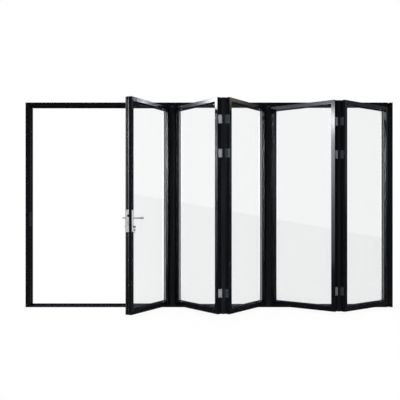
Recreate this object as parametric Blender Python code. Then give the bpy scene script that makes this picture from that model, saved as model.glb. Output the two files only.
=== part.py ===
# Bifold glass patio door, five leaves folded towards the right jamb
# Metres, +Z up. The outside is -Y, the origin is the middle of the sill's underside.
import bpy
import bmesh
from math import cos, sin, pi, radians
from mathutils import Matrix, Vector

# Outer frame
FRAME_WIDTH = 3.960
FRAME_HEIGHT = 2.207
FRAME_DEPTH = 0.090
JAMB_FACE = 0.053
HEAD_FRONT = 0.032
HEAD_BACK = 0.044
HEAD_STOP = 0.010
SILL_HEIGHT = 0.016
SILL_RIB_HEIGHT = 0.007
SILL_RIB_WIDTH = 0.008
SILL_NOSE = 0.006

# Track in the head and guide groove in the sill
TRACK_SETBACK = 0.024
TRACK_WIDTH = 0.030
TRACK_HEIGHT = 0.022
TRACK_LIP = 0.004
TRACK_SLOT = 0.012
GROOVE_WIDTH = 0.008
GROOVE_DEPTH = 0.008

# Leaves
LEAF_COUNT = 5
LEAF_THICKNESS = 0.070
LEAF_SETBACK = 0.006
LEAF_HEAD_GAP = 0.0045
LEAF_SILL_GAP = 0.0055
LEAD_GAP = 0.006
STILE_FACE = 0.041
TOP_RAIL_FACE = 0.040
BOTTOM_RAIL_FACE = 0.051
REVEAL = 0.029
GLASS_THICKNESS = 0.024
POCKET_DEPTH = 0.012
GLASS_EDGE_GAP = 0.002
EDGE_ROUND = 0.0015
LEAD_ANGLE = radians(61.2)
MIDDLE_ANGLE = radians(54.0)
JAMB_ANGLE = radians(37.65)

# Hinge posts between the leaves
NEAR_PIN_SPACING = 0.036
BACK_PIN_SPACING = 0.044
PIN_PROUD = 0.003
PIN_INSET = 0.018
JAMB_PIN_INSET = 0.011
BARREL_RADIUS = 0.0075
BARREL_SIDES = 20
WEB_THICKNESS = 0.0075
REBATE_SETBACK = 0.0095
REBATE_DEPTH = 0.028
JAMB_EASE = 0.003
POST_EASE = 0.0045
NEAR_POST_FRONT = 0.012
NEAR_POST_BACK = 0.009
BACK_POST_FRONT = 0.004
BACK_POST_BACK = 0.046
GUIDE_PIN_RADIUS = 0.003

# Roller carriages in the head
CARRIAGE_DEPTH = 0.021
CARRIAGE_TO_TRACK = 0.004
WHEEL_SPACING = 0.019
WHEEL_CLEARANCE = 0.002
WHEEL_SIDE_GAP = 0.001
STEM_CLEARANCE = 0.002
AXLE_RADIUS = 0.0025

# Hinges
HINGE_HEIGHT = 0.084
HINGE_FROM_TOP = 0.215
HINGE_MIDDLE_FROM_TOP = 0.550
HINGE_FROM_BOTTOM = 0.205
KNUCKLE_RADIUS = 0.008
HINGE_PLATE = 0.003
HINGE_PLATE_REACH = 0.040
HINGE_FRONT_BAR = 0.010
FLAP_THICKNESS = 0.007
FLAP_ROOT = 0.0025
KNUCKLE_GROOVE = 0.001
KNUCKLE_GROOVE_DEPTH = 0.0008

# Lock and handles on the leading leaf
SPINDLE_HEIGHT = 0.968
CYLINDER_DROP = 0.085
LOCK_AXIS = 0.0205
PLATE_WIDTH = 0.027
PLATE_HEIGHT = 0.214
PLATE_THICKNESS = 0.008
PLATE_ABOVE_SPINDLE = 0.080
PLATE_CORNER = 0.00675
SPINDLE_RADIUS = 0.005
SPINDLE_BORE = 0.007
NECK_RADIUS = 0.009
NECK_CLEARANCE = 0.001
LEVER_REACH = 0.050
LEVER_BEND = 0.016
LEVER_LENGTH = 0.120
NECK_LENGTH = 0.012
NECK_STEP = 0.001
ARM_RADIUS = 0.0074
GRIP_RADIUS = 0.0083
GRIP_TIP_RADIUS = 0.0055
GRIP_TIP_LENGTH = 0.004
GRIP_FLATNESS = 0.72
STRIP_CENTRE = 0.035
STRIP_WIDTH = 0.013
STRIP_THICKNESS = 0.003
STRIP_END = 0.030
FACEPLATE_CENTRE = 0.048
FACEPLATE_WIDTH = 0.036
FACEPLATE_HEIGHT = 0.222
LOCK_BOLT_CENTRE = 0.042
LATCH_REACH = 0.010
LATCH_HEIGHT = 0.024
LATCH_WIDTH = 0.014
LATCH_ABOVE_SPINDLE = 0.024
BOLT_REACH = 0.003
BOLT_HEIGHT = 0.030
BOLT_WIDTH = 0.009
BOLT_ABOVE_CYLINDER = 0.030
STRIKE_HEIGHT = 0.150
STRIKE_BELOW_SPINDLE = 0.018
STRIKE_THICKNESS = 0.003
STRIKE_LIP = 0.009
STRIKE_HOLE_MARGIN = 0.002
STRIKE_MORTISE = 0.016
CYLINDER_RADIUS = 0.0085
CYLINDER_PROUD = 0.004
CYLINDER_BORE = 0.0100
KEY_BOW_RADIUS = 0.012
KEY_BOW_THICKNESS = 0.0026
KEY_SHANK = 0.014
KEY_BLADE_HEIGHT = 0.008
KEY_BLADE_THICKNESS = 0.0018
KEY_HOLE_RADIUS = 0.0025
KEY_RIM = 0.002
KEY_RING_RADIUS = 0.0075
KEY_RING_WIRE = 0.0007
SPARE_BOW_RADIUS = 0.009
SPARE_BLADE_LENGTH = 0.024
SPARE_BLADE_WIDTH = 0.006
SPARE_BLADE_THICKNESS = 0.0016
SPARE_NOTCH = 0.0012
SPARE_NOTCHES = 3
SPARE_NOTCH_PITCH = 0.0048
THUMB_TURN_REACH = 0.013
THUMB_TURN_HEIGHT = 0.022
THUMB_TURN_THICKNESS = 0.004

SEAT_GAP = 0.0003
CUT_OVER = 0.010
WELD_DISTANCE = 0.00001

# Sides of the round pieces
BORE_SIDES = 24
BOW_SIDES = 20
WHEEL_SIDES = 16
PIN_SIDES = 12
NOTCH_SIDES = 4
RING_SIDES = 6

# Places worked out from the sizes above
OUTSIDE_Y = -FRAME_DEPTH / 2
PIN_Y = OUTSIDE_Y + LEAF_SETBACK - PIN_PROUD
TRACK_Y = OUTSIDE_Y + TRACK_SETBACK
LEAF_BOTTOM = SILL_HEIGHT + LEAF_SILL_GAP
LEAF_TOP = FRAME_HEIGHT - HEAD_BACK - LEAF_HEAD_GAP
LEAF_HEIGHT = LEAF_TOP - LEAF_BOTTOM
OPENING_HALF = FRAME_WIDTH / 2 - JAMB_FACE
LEAF_WIDTH = (2 * OPENING_HALF + JAMB_PIN_INSET - LEAD_GAP
              - 2 * NEAR_PIN_SPACING - 2 * BACK_PIN_SPACING) / LEAF_COUNT
PIN_DEPTH = LEAF_THICKNESS - PIN_INSET
JAMB_SETBACK = JAMB_PIN_INSET + JAMB_EASE
GLASS_FRONT = REVEAL
GLASS_BACK = REVEAL + GLASS_THICKNESS
HINGE_LEVELS = (LEAF_TOP - HINGE_FROM_TOP, LEAF_TOP - HINGE_MIDDLE_FROM_TOP,
                LEAF_BOTTOM + HINGE_FROM_BOTTOM)
STRIP_POCKET = STRIP_THICKNESS + SEAT_GAP
CYLINDER_HEIGHT = SPINDLE_HEIGHT - CYLINDER_DROP
LATCH_Z = SPINDLE_HEIGHT + LATCH_ABOVE_SPINDLE
BOLT_Z = CYLINDER_HEIGHT + BOLT_ABOVE_CYLINDER
LEAF_FACE_Y = OUTSIDE_Y + LEAF_SETBACK
PLATE_TOP = SPINDLE_HEIGHT + PLATE_ABOVE_SPINDLE


# Scene, collections and materials
for old in list(bpy.data.objects):
    bpy.data.objects.remove(old, do_unlink=True)

parts = bpy.data.collections.new("bifold_patio_door")
cutters = bpy.data.collections.new("cutters")
bpy.context.scene.collection.children.link(parts)
bpy.context.scene.collection.children.link(cutters)


def material(name, colour, roughness, metallic, alpha=1.0):
    mat = bpy.data.materials.new(name)
    mat.use_nodes = True
    shader = mat.node_tree.nodes["Principled BSDF"]
    shader.inputs["Base Color"].default_value = (*colour, 1.0)
    shader.inputs["Roughness"].default_value = roughness
    shader.inputs["Metallic"].default_value = metallic
    shader.inputs["Alpha"].default_value = alpha
    return mat


BLACK_PAINT = material("black_paint", (0.012, 0.013, 0.015), 0.25, 0.0)
GLASS = material("clear_glass", (0.86, 0.90, 0.88), 0.02, 0.0, 0.35)
SILVER = material("silver_hinge", (0.62, 0.63, 0.66), 0.30, 1.0)
STEEL = material("steel", (0.50, 0.50, 0.51), 0.35, 1.0)


# Building helpers
def add_object(name, mesh, mat, collection=parts):
    obj = bpy.data.objects.new(name, mesh)
    collection.objects.link(obj)
    if mat is not None:
        mesh.materials.clear()
        mesh.materials.append(mat)
    return obj


def rounded(points, corners, radius, steps=2):
    """Outline with the named corners turned into short arcs."""
    outline = []
    count = len(points)
    for index, point in enumerate(points):
        here = Vector(point)
        if index not in corners:
            outline.append(here)
            continue
        before = (Vector(points[index - 1]) - here).normalized()
        after = (Vector(points[(index + 1) % count]) - here).normalized()
        start = here + before * radius
        end = here + after * radius
        centre = here + (before + after) * radius
        for step in range(steps + 1):
            turn = step / steps * pi / 2
            outline.append(centre + (start - centre) * cos(turn) + (end - centre) * sin(turn))
    return outline


def curve_mesh(name, curve):
    """Closed mesh of a filled or bevelled curve, with its caps welded on."""
    holder = bpy.data.objects.new(name + "_curve", curve)
    parts.objects.link(holder)
    bpy.context.view_layer.update()
    depsgraph = bpy.context.evaluated_depsgraph_get()
    mesh = bpy.data.meshes.new_from_object(holder.evaluated_get(depsgraph))
    bpy.data.objects.remove(holder, do_unlink=True)
    shape = bmesh.new()
    shape.from_mesh(mesh)
    bmesh.ops.remove_doubles(shape, verts=shape.verts, dist=WELD_DISTANCE)
    bmesh.ops.recalc_face_normals(shape, faces=shape.faces)
    shape.to_mesh(mesh)
    shape.free()
    mesh.name = name
    return mesh


def extruded(name, outline, length, mat, collection=parts):
    """Closed flat outline in X and Y, extruded along Z from 0 to length."""
    curve = bpy.data.curves.new(name + "_outline", "CURVE")
    curve.dimensions = "2D"
    curve.fill_mode = "BOTH"
    curve.extrude = length / 2
    spline = curve.splines.new("POLY")
    spline.points.add(len(outline) - 1)
    for point, place in zip(spline.points, outline):
        point.co = (place[0], place[1], 0.0, 1.0)
    spline.use_cyclic_u = True
    mesh = curve_mesh(name, curve)
    mesh.transform(Matrix.Translation((0, 0, length / 2)))
    return add_object(name, mesh, mat, collection)


def transformed(obj, matrix):
    obj.data.transform(matrix)
    if matrix.determinant() < 0:
        obj.data.flip_normals()
    obj.data.update()
    return obj


def box(name, low, high, mat, collection=parts):
    """Box between two corners."""
    shape = bmesh.new()
    bmesh.ops.create_cube(shape, size=1.0)
    low, high = Vector(low), Vector(high)
    size = high - low
    bmesh.ops.scale(shape, verts=shape.verts, vec=size)
    bmesh.ops.translate(shape, verts=shape.verts, vec=(low + high) / 2)
    mesh = bpy.data.meshes.new(name)
    shape.to_mesh(mesh)
    shape.free()
    return add_object(name, mesh, mat, collection)


def rod(name, start, end, radius, mat, sides=BARREL_SIDES, collection=parts):
    """Cylinder between two points."""
    start, end = Vector(start), Vector(end)
    span = end - start
    shape = bmesh.new()
    bmesh.ops.create_cone(shape, cap_ends=True, segments=sides, radius1=radius, radius2=radius,
                          depth=span.length)
    mesh = bpy.data.meshes.new(name)
    shape.to_mesh(mesh)
    shape.free()
    turn = Vector((0, 0, 1)).rotation_difference(span.normalized()).to_matrix().to_4x4()
    mesh.transform(Matrix.Translation((start + end) / 2) @ turn)
    return add_object(name, mesh, mat, collection)


def combine(target, others, operation):
    """Boolean of the target with each other object, which is then removed."""
    for other in others:
        modifier = target.modifiers.new("combine", "BOOLEAN")
        modifier.operation = operation
        modifier.solver = "EXACT"
        modifier.object = other
        bpy.context.view_layer.update()
        depsgraph = bpy.context.evaluated_depsgraph_get()
        mesh = bpy.data.meshes.new_from_object(target.evaluated_get(depsgraph))
        target.modifiers.clear()
        old = target.data
        target.data = mesh
        bpy.data.meshes.remove(old)
        bpy.data.objects.remove(other, do_unlink=True)
    return target


def fuse(target, *others):
    return combine(target, others, "UNION")


def cut(target, *others):
    return combine(target, others, "DIFFERENCE")


def along_x(obj):
    """Turn an extrusion in Z, drawn in (y, z), to run along X."""
    return transformed(obj, Matrix(((0, 0, 1, 0), (1, 0, 0, 0), (0, 1, 0, 0), (0, 0, 0, 1))))


# Outer frame
def build_head():
    """Outer and inner profiles, the web that joins them over the track, and the two running rails."""
    back = FRAME_DEPTH / 2
    stop = back - HEAD_STOP
    slot = TRACK_SLOT / 2
    cavity = TRACK_WIDTH / 2
    seated = cavity - SEAT_GAP
    lip_top = -HEAD_FRONT + TRACK_LIP
    roof = lip_top + TRACK_HEIGHT
    outer = rounded([
        (OUTSIDE_Y, 0), (OUTSIDE_Y, -HEAD_FRONT),
        (TRACK_Y - cavity, -HEAD_FRONT), (TRACK_Y - cavity, 0)], (1,), EDGE_ROUND)
    inner = rounded([
        (TRACK_Y + cavity, 0), (TRACK_Y + cavity, -HEAD_FRONT),
        (stop, -HEAD_FRONT), (stop, -HEAD_BACK), (back, -HEAD_BACK), (back, 0)],
        (3, 4), EDGE_ROUND)
    web = [(TRACK_Y - seated, 0), (TRACK_Y - seated, roof), (TRACK_Y + seated, roof), (TRACK_Y + seated, 0)]
    outer_rail = [(TRACK_Y - seated, lip_top), (TRACK_Y - seated, -HEAD_FRONT),
                  (TRACK_Y - slot, -HEAD_FRONT), (TRACK_Y - slot, lip_top)]
    inner_rail = [(TRACK_Y + slot, lip_top), (TRACK_Y + slot, -HEAD_FRONT),
                  (TRACK_Y + seated, -HEAD_FRONT), (TRACK_Y + seated, lip_top)]
    length = 2 * (OPENING_HALF - SEAT_GAP)
    for name, outline in (("head_outer_profile", outer), ("head_inner_profile", inner), ("head_web", web),
                          ("outer_running_rail", outer_rail), ("inner_running_rail", inner_rail)):
        profile = along_x(extruded(name, outline, length, BLACK_PAINT))
        profile.location = (-length / 2, 0, FRAME_HEIGHT)


def build_sill():
    back = FRAME_DEPTH / 2
    rib = back - SILL_RIB_WIDTH
    groove = GROOVE_WIDTH / 2
    floor = SILL_HEIGHT - GROOVE_DEPTH
    outline = rounded([
        (OUTSIDE_Y, 0), (back, 0), (back, SILL_HEIGHT + SILL_RIB_HEIGHT),
        (rib, SILL_HEIGHT + SILL_RIB_HEIGHT), (rib, SILL_HEIGHT),
        (TRACK_Y + groove, SILL_HEIGHT), (TRACK_Y + groove, floor),
        (TRACK_Y - groove, floor), (TRACK_Y - groove, SILL_HEIGHT),
        (OUTSIDE_Y + SILL_NOSE, SILL_HEIGHT), (OUTSIDE_Y, SILL_HEIGHT - SILL_NOSE)],
        (2, 3), EDGE_ROUND)
    length = 2 * (OPENING_HALF - SEAT_GAP)
    sill = along_x(extruded("sill", outline, length, BLACK_PAINT))
    sill.location = (-length / 2, 0, 0)
    return sill


def build_left_jamb():
    inner = -OPENING_HALF
    outline = rounded([
        (-FRAME_WIDTH / 2, OUTSIDE_Y), (inner, OUTSIDE_Y),
        (inner, -OUTSIDE_Y), (-FRAME_WIDTH / 2, -OUTSIDE_Y)], (0, 1, 2, 3), EDGE_ROUND)
    jamb = extruded("left_jamb", outline, FRAME_HEIGHT, BLACK_PAINT)
    for low, high in strike_boxes(SEAT_GAP):
        cut(jamb, box("let_in", low, high, None, cutters))
    for low, high in mortise_boxes(STRIKE_MORTISE):
        cut(jamb, box("mortise", low, high, None, cutters))
    return jamb


def strike_boxes(gap):
    """Corners of the strike plate's two limbs, grown by a gap where they lie in the jamb."""
    inner = -OPENING_HALF
    middle = SPINDLE_HEIGHT - STRIKE_BELOW_SPINDLE
    low = middle - STRIKE_HEIGHT / 2 - gap
    high = middle + STRIKE_HEIGHT / 2 + gap
    depth = STRIKE_THICKNESS + gap
    over = CUT_OVER if gap else 0.0
    back = LEAF_FACE_Y + FACEPLATE_CENTRE + FACEPLATE_WIDTH / 2 + gap
    plate = ((inner - depth, OUTSIDE_Y - over, low), (inner + over, back, high))
    lip = ((inner - STRIKE_LIP - gap, OUTSIDE_Y - over, low),
           (inner + over, OUTSIDE_Y + depth, high))
    return plate, lip


def mortise_boxes(depth):
    """Corners of the hollows that take the latch and the bolt when the leaf is shut."""
    inner = -OPENING_HALF
    corners = []
    for height, size, width in ((LATCH_Z, LATCH_HEIGHT, LATCH_WIDTH),
                                (BOLT_Z, BOLT_HEIGHT, BOLT_WIDTH)):
        half_height = size / 2 + STRIKE_HOLE_MARGIN
        half_width = width / 2 + STRIKE_HOLE_MARGIN
        middle = LEAF_FACE_Y + LOCK_BOLT_CENTRE
        corners.append(((inner - depth, middle - half_width, height - half_height),
                        (inner + CUT_OVER, middle + half_width, height + half_height)))
    return corners


def build_strike_plate():
    """Angled plate let into the left jamb, with a hole for the latch and one for the bolt."""
    (plate_low, plate_high), (lip_low, lip_high) = strike_boxes(0.0)
    plate = box("strike_plate", plate_low, plate_high, STEEL)
    fuse(plate, box("lip", lip_low, lip_high, STEEL))
    for low, high in mortise_boxes(STRIKE_MORTISE):
        cut(plate, box("hole", low, high, None, cutters))
    return plate


def build_right_jamb():
    """Jamb with a rebate for the hinge barrel, and the barrel on its web."""
    inner = OPENING_HALF
    outer = FRAME_WIDTH / 2
    rebate_x = inner + JAMB_PIN_INSET + REBATE_SETBACK
    rebate_y = PIN_Y + PIN_PROUD + REBATE_DEPTH
    outline = rounded([
        (rebate_x, OUTSIDE_Y), (outer, OUTSIDE_Y), (outer, -OUTSIDE_Y), (inner, -OUTSIDE_Y),
        (inner, rebate_y), (rebate_x, rebate_y)], (0, 1, 2, 3, 4), EDGE_ROUND)
    jamb = extruded("right_jamb", outline, FRAME_HEIGHT, BLACK_PAINT)
    pin = JAMB_PIN
    barrel = rod("barrel", (pin.x, pin.y, LEAF_BOTTOM), (pin.x, pin.y, LEAF_TOP),
                 BARREL_RADIUS, BLACK_PAINT)
    web_half = WEB_THICKNESS / 2
    web = box("web", (pin.x, pin.y - web_half + PIN_PROUD, LEAF_BOTTOM + EDGE_ROUND),
              (rebate_x + JAMB_PIN_INSET, pin.y + web_half + PIN_PROUD, LEAF_TOP - EDGE_ROUND),
              BLACK_PAINT)
    fuse(jamb, web, barrel)
    for level in HINGE_LEVELS:
        fuse(jamb, back_flap(pin, JAMB_ANGLE, 1, level))
    return jamb


# Leaves
def leaf_matrix(pin, angle, side):
    """Leaf's own axes: x along the leaf, y from its outside face to its inside face."""
    turn = Matrix.Rotation(angle * side, 4, "Z")
    local_pin = Vector((LEAF_WIDTH if side > 0 else 0.0, -PIN_PROUD, 0.0))
    return Matrix.Translation(Vector((pin.x, pin.y, LEAF_BOTTOM)) - turn @ local_pin) @ turn


def near_pin(pin, angle, side):
    """World place of the pin at the leaf's other end, on the outside of the opening."""
    local = Vector((0.0 if side > 0 else LEAF_WIDTH, PIN_DEPTH, 0.0))
    place = leaf_matrix(pin, angle, side) @ local
    return Vector((place.x, place.y, 0.0))


def edge_outline(face, kind):
    """Section of a stile or rail: u from the leaf's edge inwards, y through its thickness."""
    front = GLASS_FRONT - SEAT_GAP
    back = GLASS_BACK + SEAT_GAP
    pocket = face - POCKET_DEPTH
    glazing_side = [(face, 0), (face, front), (pocket, front), (pocket, back),
                    (face, back), (face, LEAF_THICKNESS)]
    step = LEAF_THICKNESS - REBATE_DEPTH
    groove = STRIP_WIDTH / 2 + SEAT_GAP
    edge_side = {
        "plain": [(0, LEAF_THICKNESS), (0, 0)],
        "near": [(REBATE_SETBACK, LEAF_THICKNESS), (REBATE_SETBACK, step), (0, step), (0, 0)],
        "back": [(0, LEAF_THICKNESS), (0, REBATE_DEPTH), (REBATE_SETBACK, REBATE_DEPTH),
                 (REBATE_SETBACK, 0)],
        "jamb": [(JAMB_SETBACK, LEAF_THICKNESS), (JAMB_SETBACK, REBATE_DEPTH),
                 (REBATE_SETBACK, REBATE_DEPTH), (REBATE_SETBACK, 0)],
        "lead": [(0, LEAF_THICKNESS), (0, STRIP_CENTRE + groove), (STRIP_POCKET, STRIP_CENTRE + groove),
                 (STRIP_POCKET, STRIP_CENTRE - groove), (0, STRIP_CENTRE - groove), (0, 0)],
    }[kind]
    points = glazing_side + edge_side
    last = len(points) - 1
    return rounded(points, (0, 1, 4, 5, len(glazing_side), last), EDGE_ROUND)


def mitred(obj, length, own_face, low_face, high_face, gap):
    """Slope both ends of a bar so that it meets its neighbour on the corner's diagonal."""
    for vertex in obj.data.vertices:
        u = vertex.co.x
        if vertex.co.z < length / 2:
            vertex.co.z += u * low_face / own_face + gap
        else:
            vertex.co.z -= u * high_face / own_face + gap
    return obj


def build_stile(name, kind, matrix, right):
    stile = extruded(name, edge_outline(STILE_FACE, kind), LEAF_HEIGHT, BLACK_PAINT)
    mitred(stile, LEAF_HEIGHT, STILE_FACE, BOTTOM_RAIL_FACE, TOP_RAIL_FACE, 0.0)
    if right:
        mirror = Matrix.Translation((LEAF_WIDTH, 0, 0)) @ Matrix.Scale(-1, 4, (1, 0, 0))
        transformed(stile, mirror)
    stile.matrix_world = matrix
    return stile


def rebate_cutters(kind, right):
    """Boxes that carry a stile's rebates on through the tips of the rails."""
    over = CUT_OVER
    front_cut = (-over, REBATE_DEPTH)
    back_cut = (LEAF_THICKNESS - REBATE_DEPTH, LEAF_THICKNESS + over)
    deep_cut = (REBATE_DEPTH, LEAF_THICKNESS + over)
    cuts = {"near": [(REBATE_SETBACK, back_cut)], "back": [(REBATE_SETBACK, front_cut)],
            "jamb": [(REBATE_SETBACK, front_cut), (JAMB_SETBACK, deep_cut)], "lead": []}[kind]
    cutter_boxes = []
    for setback, (y_low, y_high) in cuts:
        x_low, x_high = (LEAF_WIDTH - setback, LEAF_WIDTH + over) if right else (-over, setback)
        cutter_boxes.append(box("rebate", (x_low, y_low, -over), (x_high, y_high, LEAF_HEIGHT + over),
                                None, cutters))
    return cutter_boxes


def build_rail(name, matrix, top, left_kind, right_kind):
    face = TOP_RAIL_FACE if top else BOTTOM_RAIL_FACE
    rail = extruded(name, edge_outline(face, "plain"), LEAF_WIDTH, BLACK_PAINT)
    mitred(rail, LEAF_WIDTH, face, STILE_FACE, STILE_FACE, SEAT_GAP)
    lie = Matrix(((0, 0, 1, 0), (0, 1, 0, 0), (1, 0, 0, 0), (0, 0, 0, 1)))
    if top:
        lie = Matrix.Translation((0, 0, LEAF_HEIGHT)) @ Matrix.Scale(-1, 4, (0, 0, 1)) @ lie
    transformed(rail, lie)
    cut(rail, *rebate_cutters(left_kind, False), *rebate_cutters(right_kind, True))
    rail.matrix_world = matrix
    return rail


def build_glass(name, matrix):
    edge_x = STILE_FACE - POCKET_DEPTH + GLASS_EDGE_GAP
    bottom_z = BOTTOM_RAIL_FACE - POCKET_DEPTH + GLASS_EDGE_GAP
    top_z = LEAF_HEIGHT - TOP_RAIL_FACE + POCKET_DEPTH - GLASS_EDGE_GAP
    glass = box(name, (edge_x, GLASS_FRONT, bottom_z),
                (LEAF_WIDTH - edge_x, GLASS_BACK, top_z), GLASS)
    glass.matrix_world = matrix
    return glass


def build_leaf(number, pin, angle, side, left_kind, right_kind):
    matrix = leaf_matrix(pin, angle, side)
    name = f"leaf_{number}_"
    build_stile(name + "left_stile", left_kind, matrix, False)
    build_stile(name + "right_stile", right_kind, matrix, True)
    build_rail(name + "top_rail", matrix, True, left_kind, right_kind)
    build_rail(name + "bottom_rail", matrix, False, left_kind, right_kind)
    build_glass(name + "glass", matrix)
    return matrix


# Hinge posts
def post_body(name, half, front, back):
    outline = rounded([(-half, -front), (half, -front), (half, back), (-half, back)],
                      (0, 1, 2, 3), EDGE_ROUND)
    return extruded(name, outline, LEAF_HEIGHT, BLACK_PAINT)


def build_near_post(name, pin):
    """Post between two pins at an outward fold, let in at each hinge."""
    half = NEAR_PIN_SPACING / 2
    body_half = half - POST_EASE
    post = post_body(name, body_half, NEAR_POST_FRONT, NEAR_POST_BACK)
    for side in (-1, 1):
        fuse(post, rod("barrel", (side * half, 0, EDGE_ROUND), (side * half, 0, LEAF_HEIGHT - EDGE_ROUND),
                       BARREL_RADIUS, BLACK_PAINT))
    reach = half + KNUCKLE_RADIUS + CUT_OVER
    front_bar = -NEAR_POST_FRONT + HINGE_FRONT_BAR
    for level in HINGE_LEVELS:
        low = level - LEAF_BOTTOM - HINGE_HEIGHT / 2 - SEAT_GAP
        high = low + HINGE_HEIGHT + 2 * SEAT_GAP
        cut(post, box("let_in", (-reach, front_bar, low), (reach, reach, high), None, cutters))
        for side in (-1, 1):
            edges = sorted((side * (half - KNUCKLE_RADIUS - SEAT_GAP), side * reach))
            cut(post, box("let_in", (edges[0], -reach, low), (edges[1], reach, high), None, cutters))
    post.location = (pin.x + half, pin.y, LEAF_BOTTOM)
    return post


def build_near_hinge(name, left_pin, angle, level):
    """Silver double hinge: two knuckles on a centre block, and a plate on each leaf's edge."""
    half = NEAR_PIN_SPACING / 2
    low = level - HINGE_HEIGHT / 2
    high = level + HINGE_HEIGHT / 2
    block_front = -NEAR_POST_FRONT + HINGE_FRONT_BAR + SEAT_GAP
    centre_x = left_pin.x + half
    hinge = box(name, (centre_x - half, left_pin.y + block_front, low + EDGE_ROUND),
                (centre_x + half, left_pin.y + KNUCKLE_RADIUS - EDGE_ROUND, high - EDGE_ROUND), SILVER)
    for side in (-1, 1):
        pin = Vector((centre_x + side * half, left_pin.y, 0))
        third = (high - low) / 3
        core = (low + KNUCKLE_GROOVE, high - KNUCKLE_GROOVE, KNUCKLE_RADIUS - KNUCKLE_GROOVE_DEPTH)
        sleeves = [(low + step * third + (step > 0) * KNUCKLE_GROOVE / 2,
                    low + (step + 1) * third - (step < 2) * KNUCKLE_GROOVE / 2, KNUCKLE_RADIUS)
                   for step in range(3)]
        for start, end, radius in (core, *sleeves):
            fuse(hinge, rod("knuckle", (pin.x, pin.y, start), (pin.x, pin.y, end), radius, SILVER))
        plate = box("plate", (SEAT_GAP, -HINGE_PLATE_REACH, low + EDGE_ROUND / 2),
                    (SEAT_GAP + HINGE_PLATE, 0, high - EDGE_ROUND / 2), SILVER)
        place = Matrix.Translation(pin) @ Matrix.Rotation(side * angle, 4, "Z")
        if side > 0:
            place = place @ Matrix.Scale(-1, 4, (1, 0, 0))
        transformed(plate, place)
        fuse(hinge, plate)
    return hinge


def back_flap(pin, angle, side, level):
    """Hinge flap from a barrel to the rebated edge of the leaf that it carries."""
    reach = REBATE_SETBACK - SEAT_GAP
    low, high = level - HINGE_HEIGHT / 2, level + HINGE_HEIGHT / 2
    front = PIN_PROUD + SEAT_GAP
    flap = box("flap", (-reach, front, low), (-FLAP_ROOT, front + FLAP_THICKNESS, high), BLACK_PAINT)
    place = Matrix.Translation(pin) @ Matrix.Rotation(side * angle, 4, "Z")
    if side < 0:
        place = place @ Matrix.Scale(-1, 4, (1, 0, 0))
    return transformed(flap, place)


def build_back_post(name, centre, left_angle, right_angle):
    """Post on the track between two pins at an inward fold, with its guide pin."""
    half = BACK_PIN_SPACING / 2
    post = post_body(name, half - POST_EASE, BACK_POST_FRONT, BACK_POST_BACK)
    for side in (-1, 1):
        fuse(post, rod("barrel", (side * half, 0, EDGE_ROUND), (side * half, 0, LEAF_HEIGHT - EDGE_ROUND),
                       BARREL_RADIUS, BLACK_PAINT))
    for level in HINGE_LEVELS:
        here = level - LEAF_BOTTOM
        fuse(post, back_flap(Vector((-half, 0, 0)), left_angle, 1, here))
        fuse(post, back_flap(Vector((half, 0, 0)), right_angle, -1, here))
    guide_y = TRACK_Y - PIN_Y
    guide_foot = SILL_HEIGHT - GROOVE_DEPTH + SEAT_GAP - LEAF_BOTTOM
    fuse(post, rod("guide", (0, guide_y, guide_foot), (0, guide_y, EDGE_ROUND),
                   GUIDE_PIN_RADIUS, BLACK_PAINT, PIN_SIDES))
    post.location = (centre, PIN_Y, LEAF_BOTTOM)
    return post


def build_carriage(name, centre):
    """Roller carriage: a block on the post, a stem through the slot and four wheels."""
    track_underside = FRAME_HEIGHT - HEAD_FRONT - LEAF_TOP
    wheel_radius = TRACK_HEIGHT / 2 - WHEEL_CLEARANCE
    axle_z = track_underside + TRACK_LIP + SEAT_GAP + wheel_radius
    stem = TRACK_SLOT / 2 - STEM_CLEARANCE
    reach = TRACK_WIDTH / 2 - WHEEL_CLEARANCE
    half = BACK_PIN_SPACING / 2 - POST_EASE
    deep = CARRIAGE_DEPTH / 2
    carriage = box(name, (-half, -deep, SEAT_GAP), (half, deep, track_underside - CARRIAGE_TO_TRACK), STEEL)
    fuse(carriage, box("stem", (-half, -stem, 2 * SEAT_GAP), (half, stem, axle_z + 2 * AXLE_RADIUS), STEEL))
    for side in (-1, 1):
        x = side * WHEEL_SPACING / 2
        fuse(carriage, rod("axle", (x, -reach, axle_z), (x, reach, axle_z), AXLE_RADIUS, STEEL, PIN_SIDES))
        for wheel_side in (-1, 1):
            start = wheel_side * (stem + WHEEL_SIDE_GAP)
            end = wheel_side * (reach - WHEEL_SIDE_GAP)
            fuse(carriage, rod("wheel", (x, start, axle_z), (x, end, axle_z), wheel_radius, STEEL,
                               WHEEL_SIDES))
    carriage.location = (centre, TRACK_Y, LEAF_TOP)
    return carriage


# Lock, handles and cylinder, in the leading leaf's own axes
def leaf_z(height):
    return height - LEAF_BOTTOM


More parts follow.
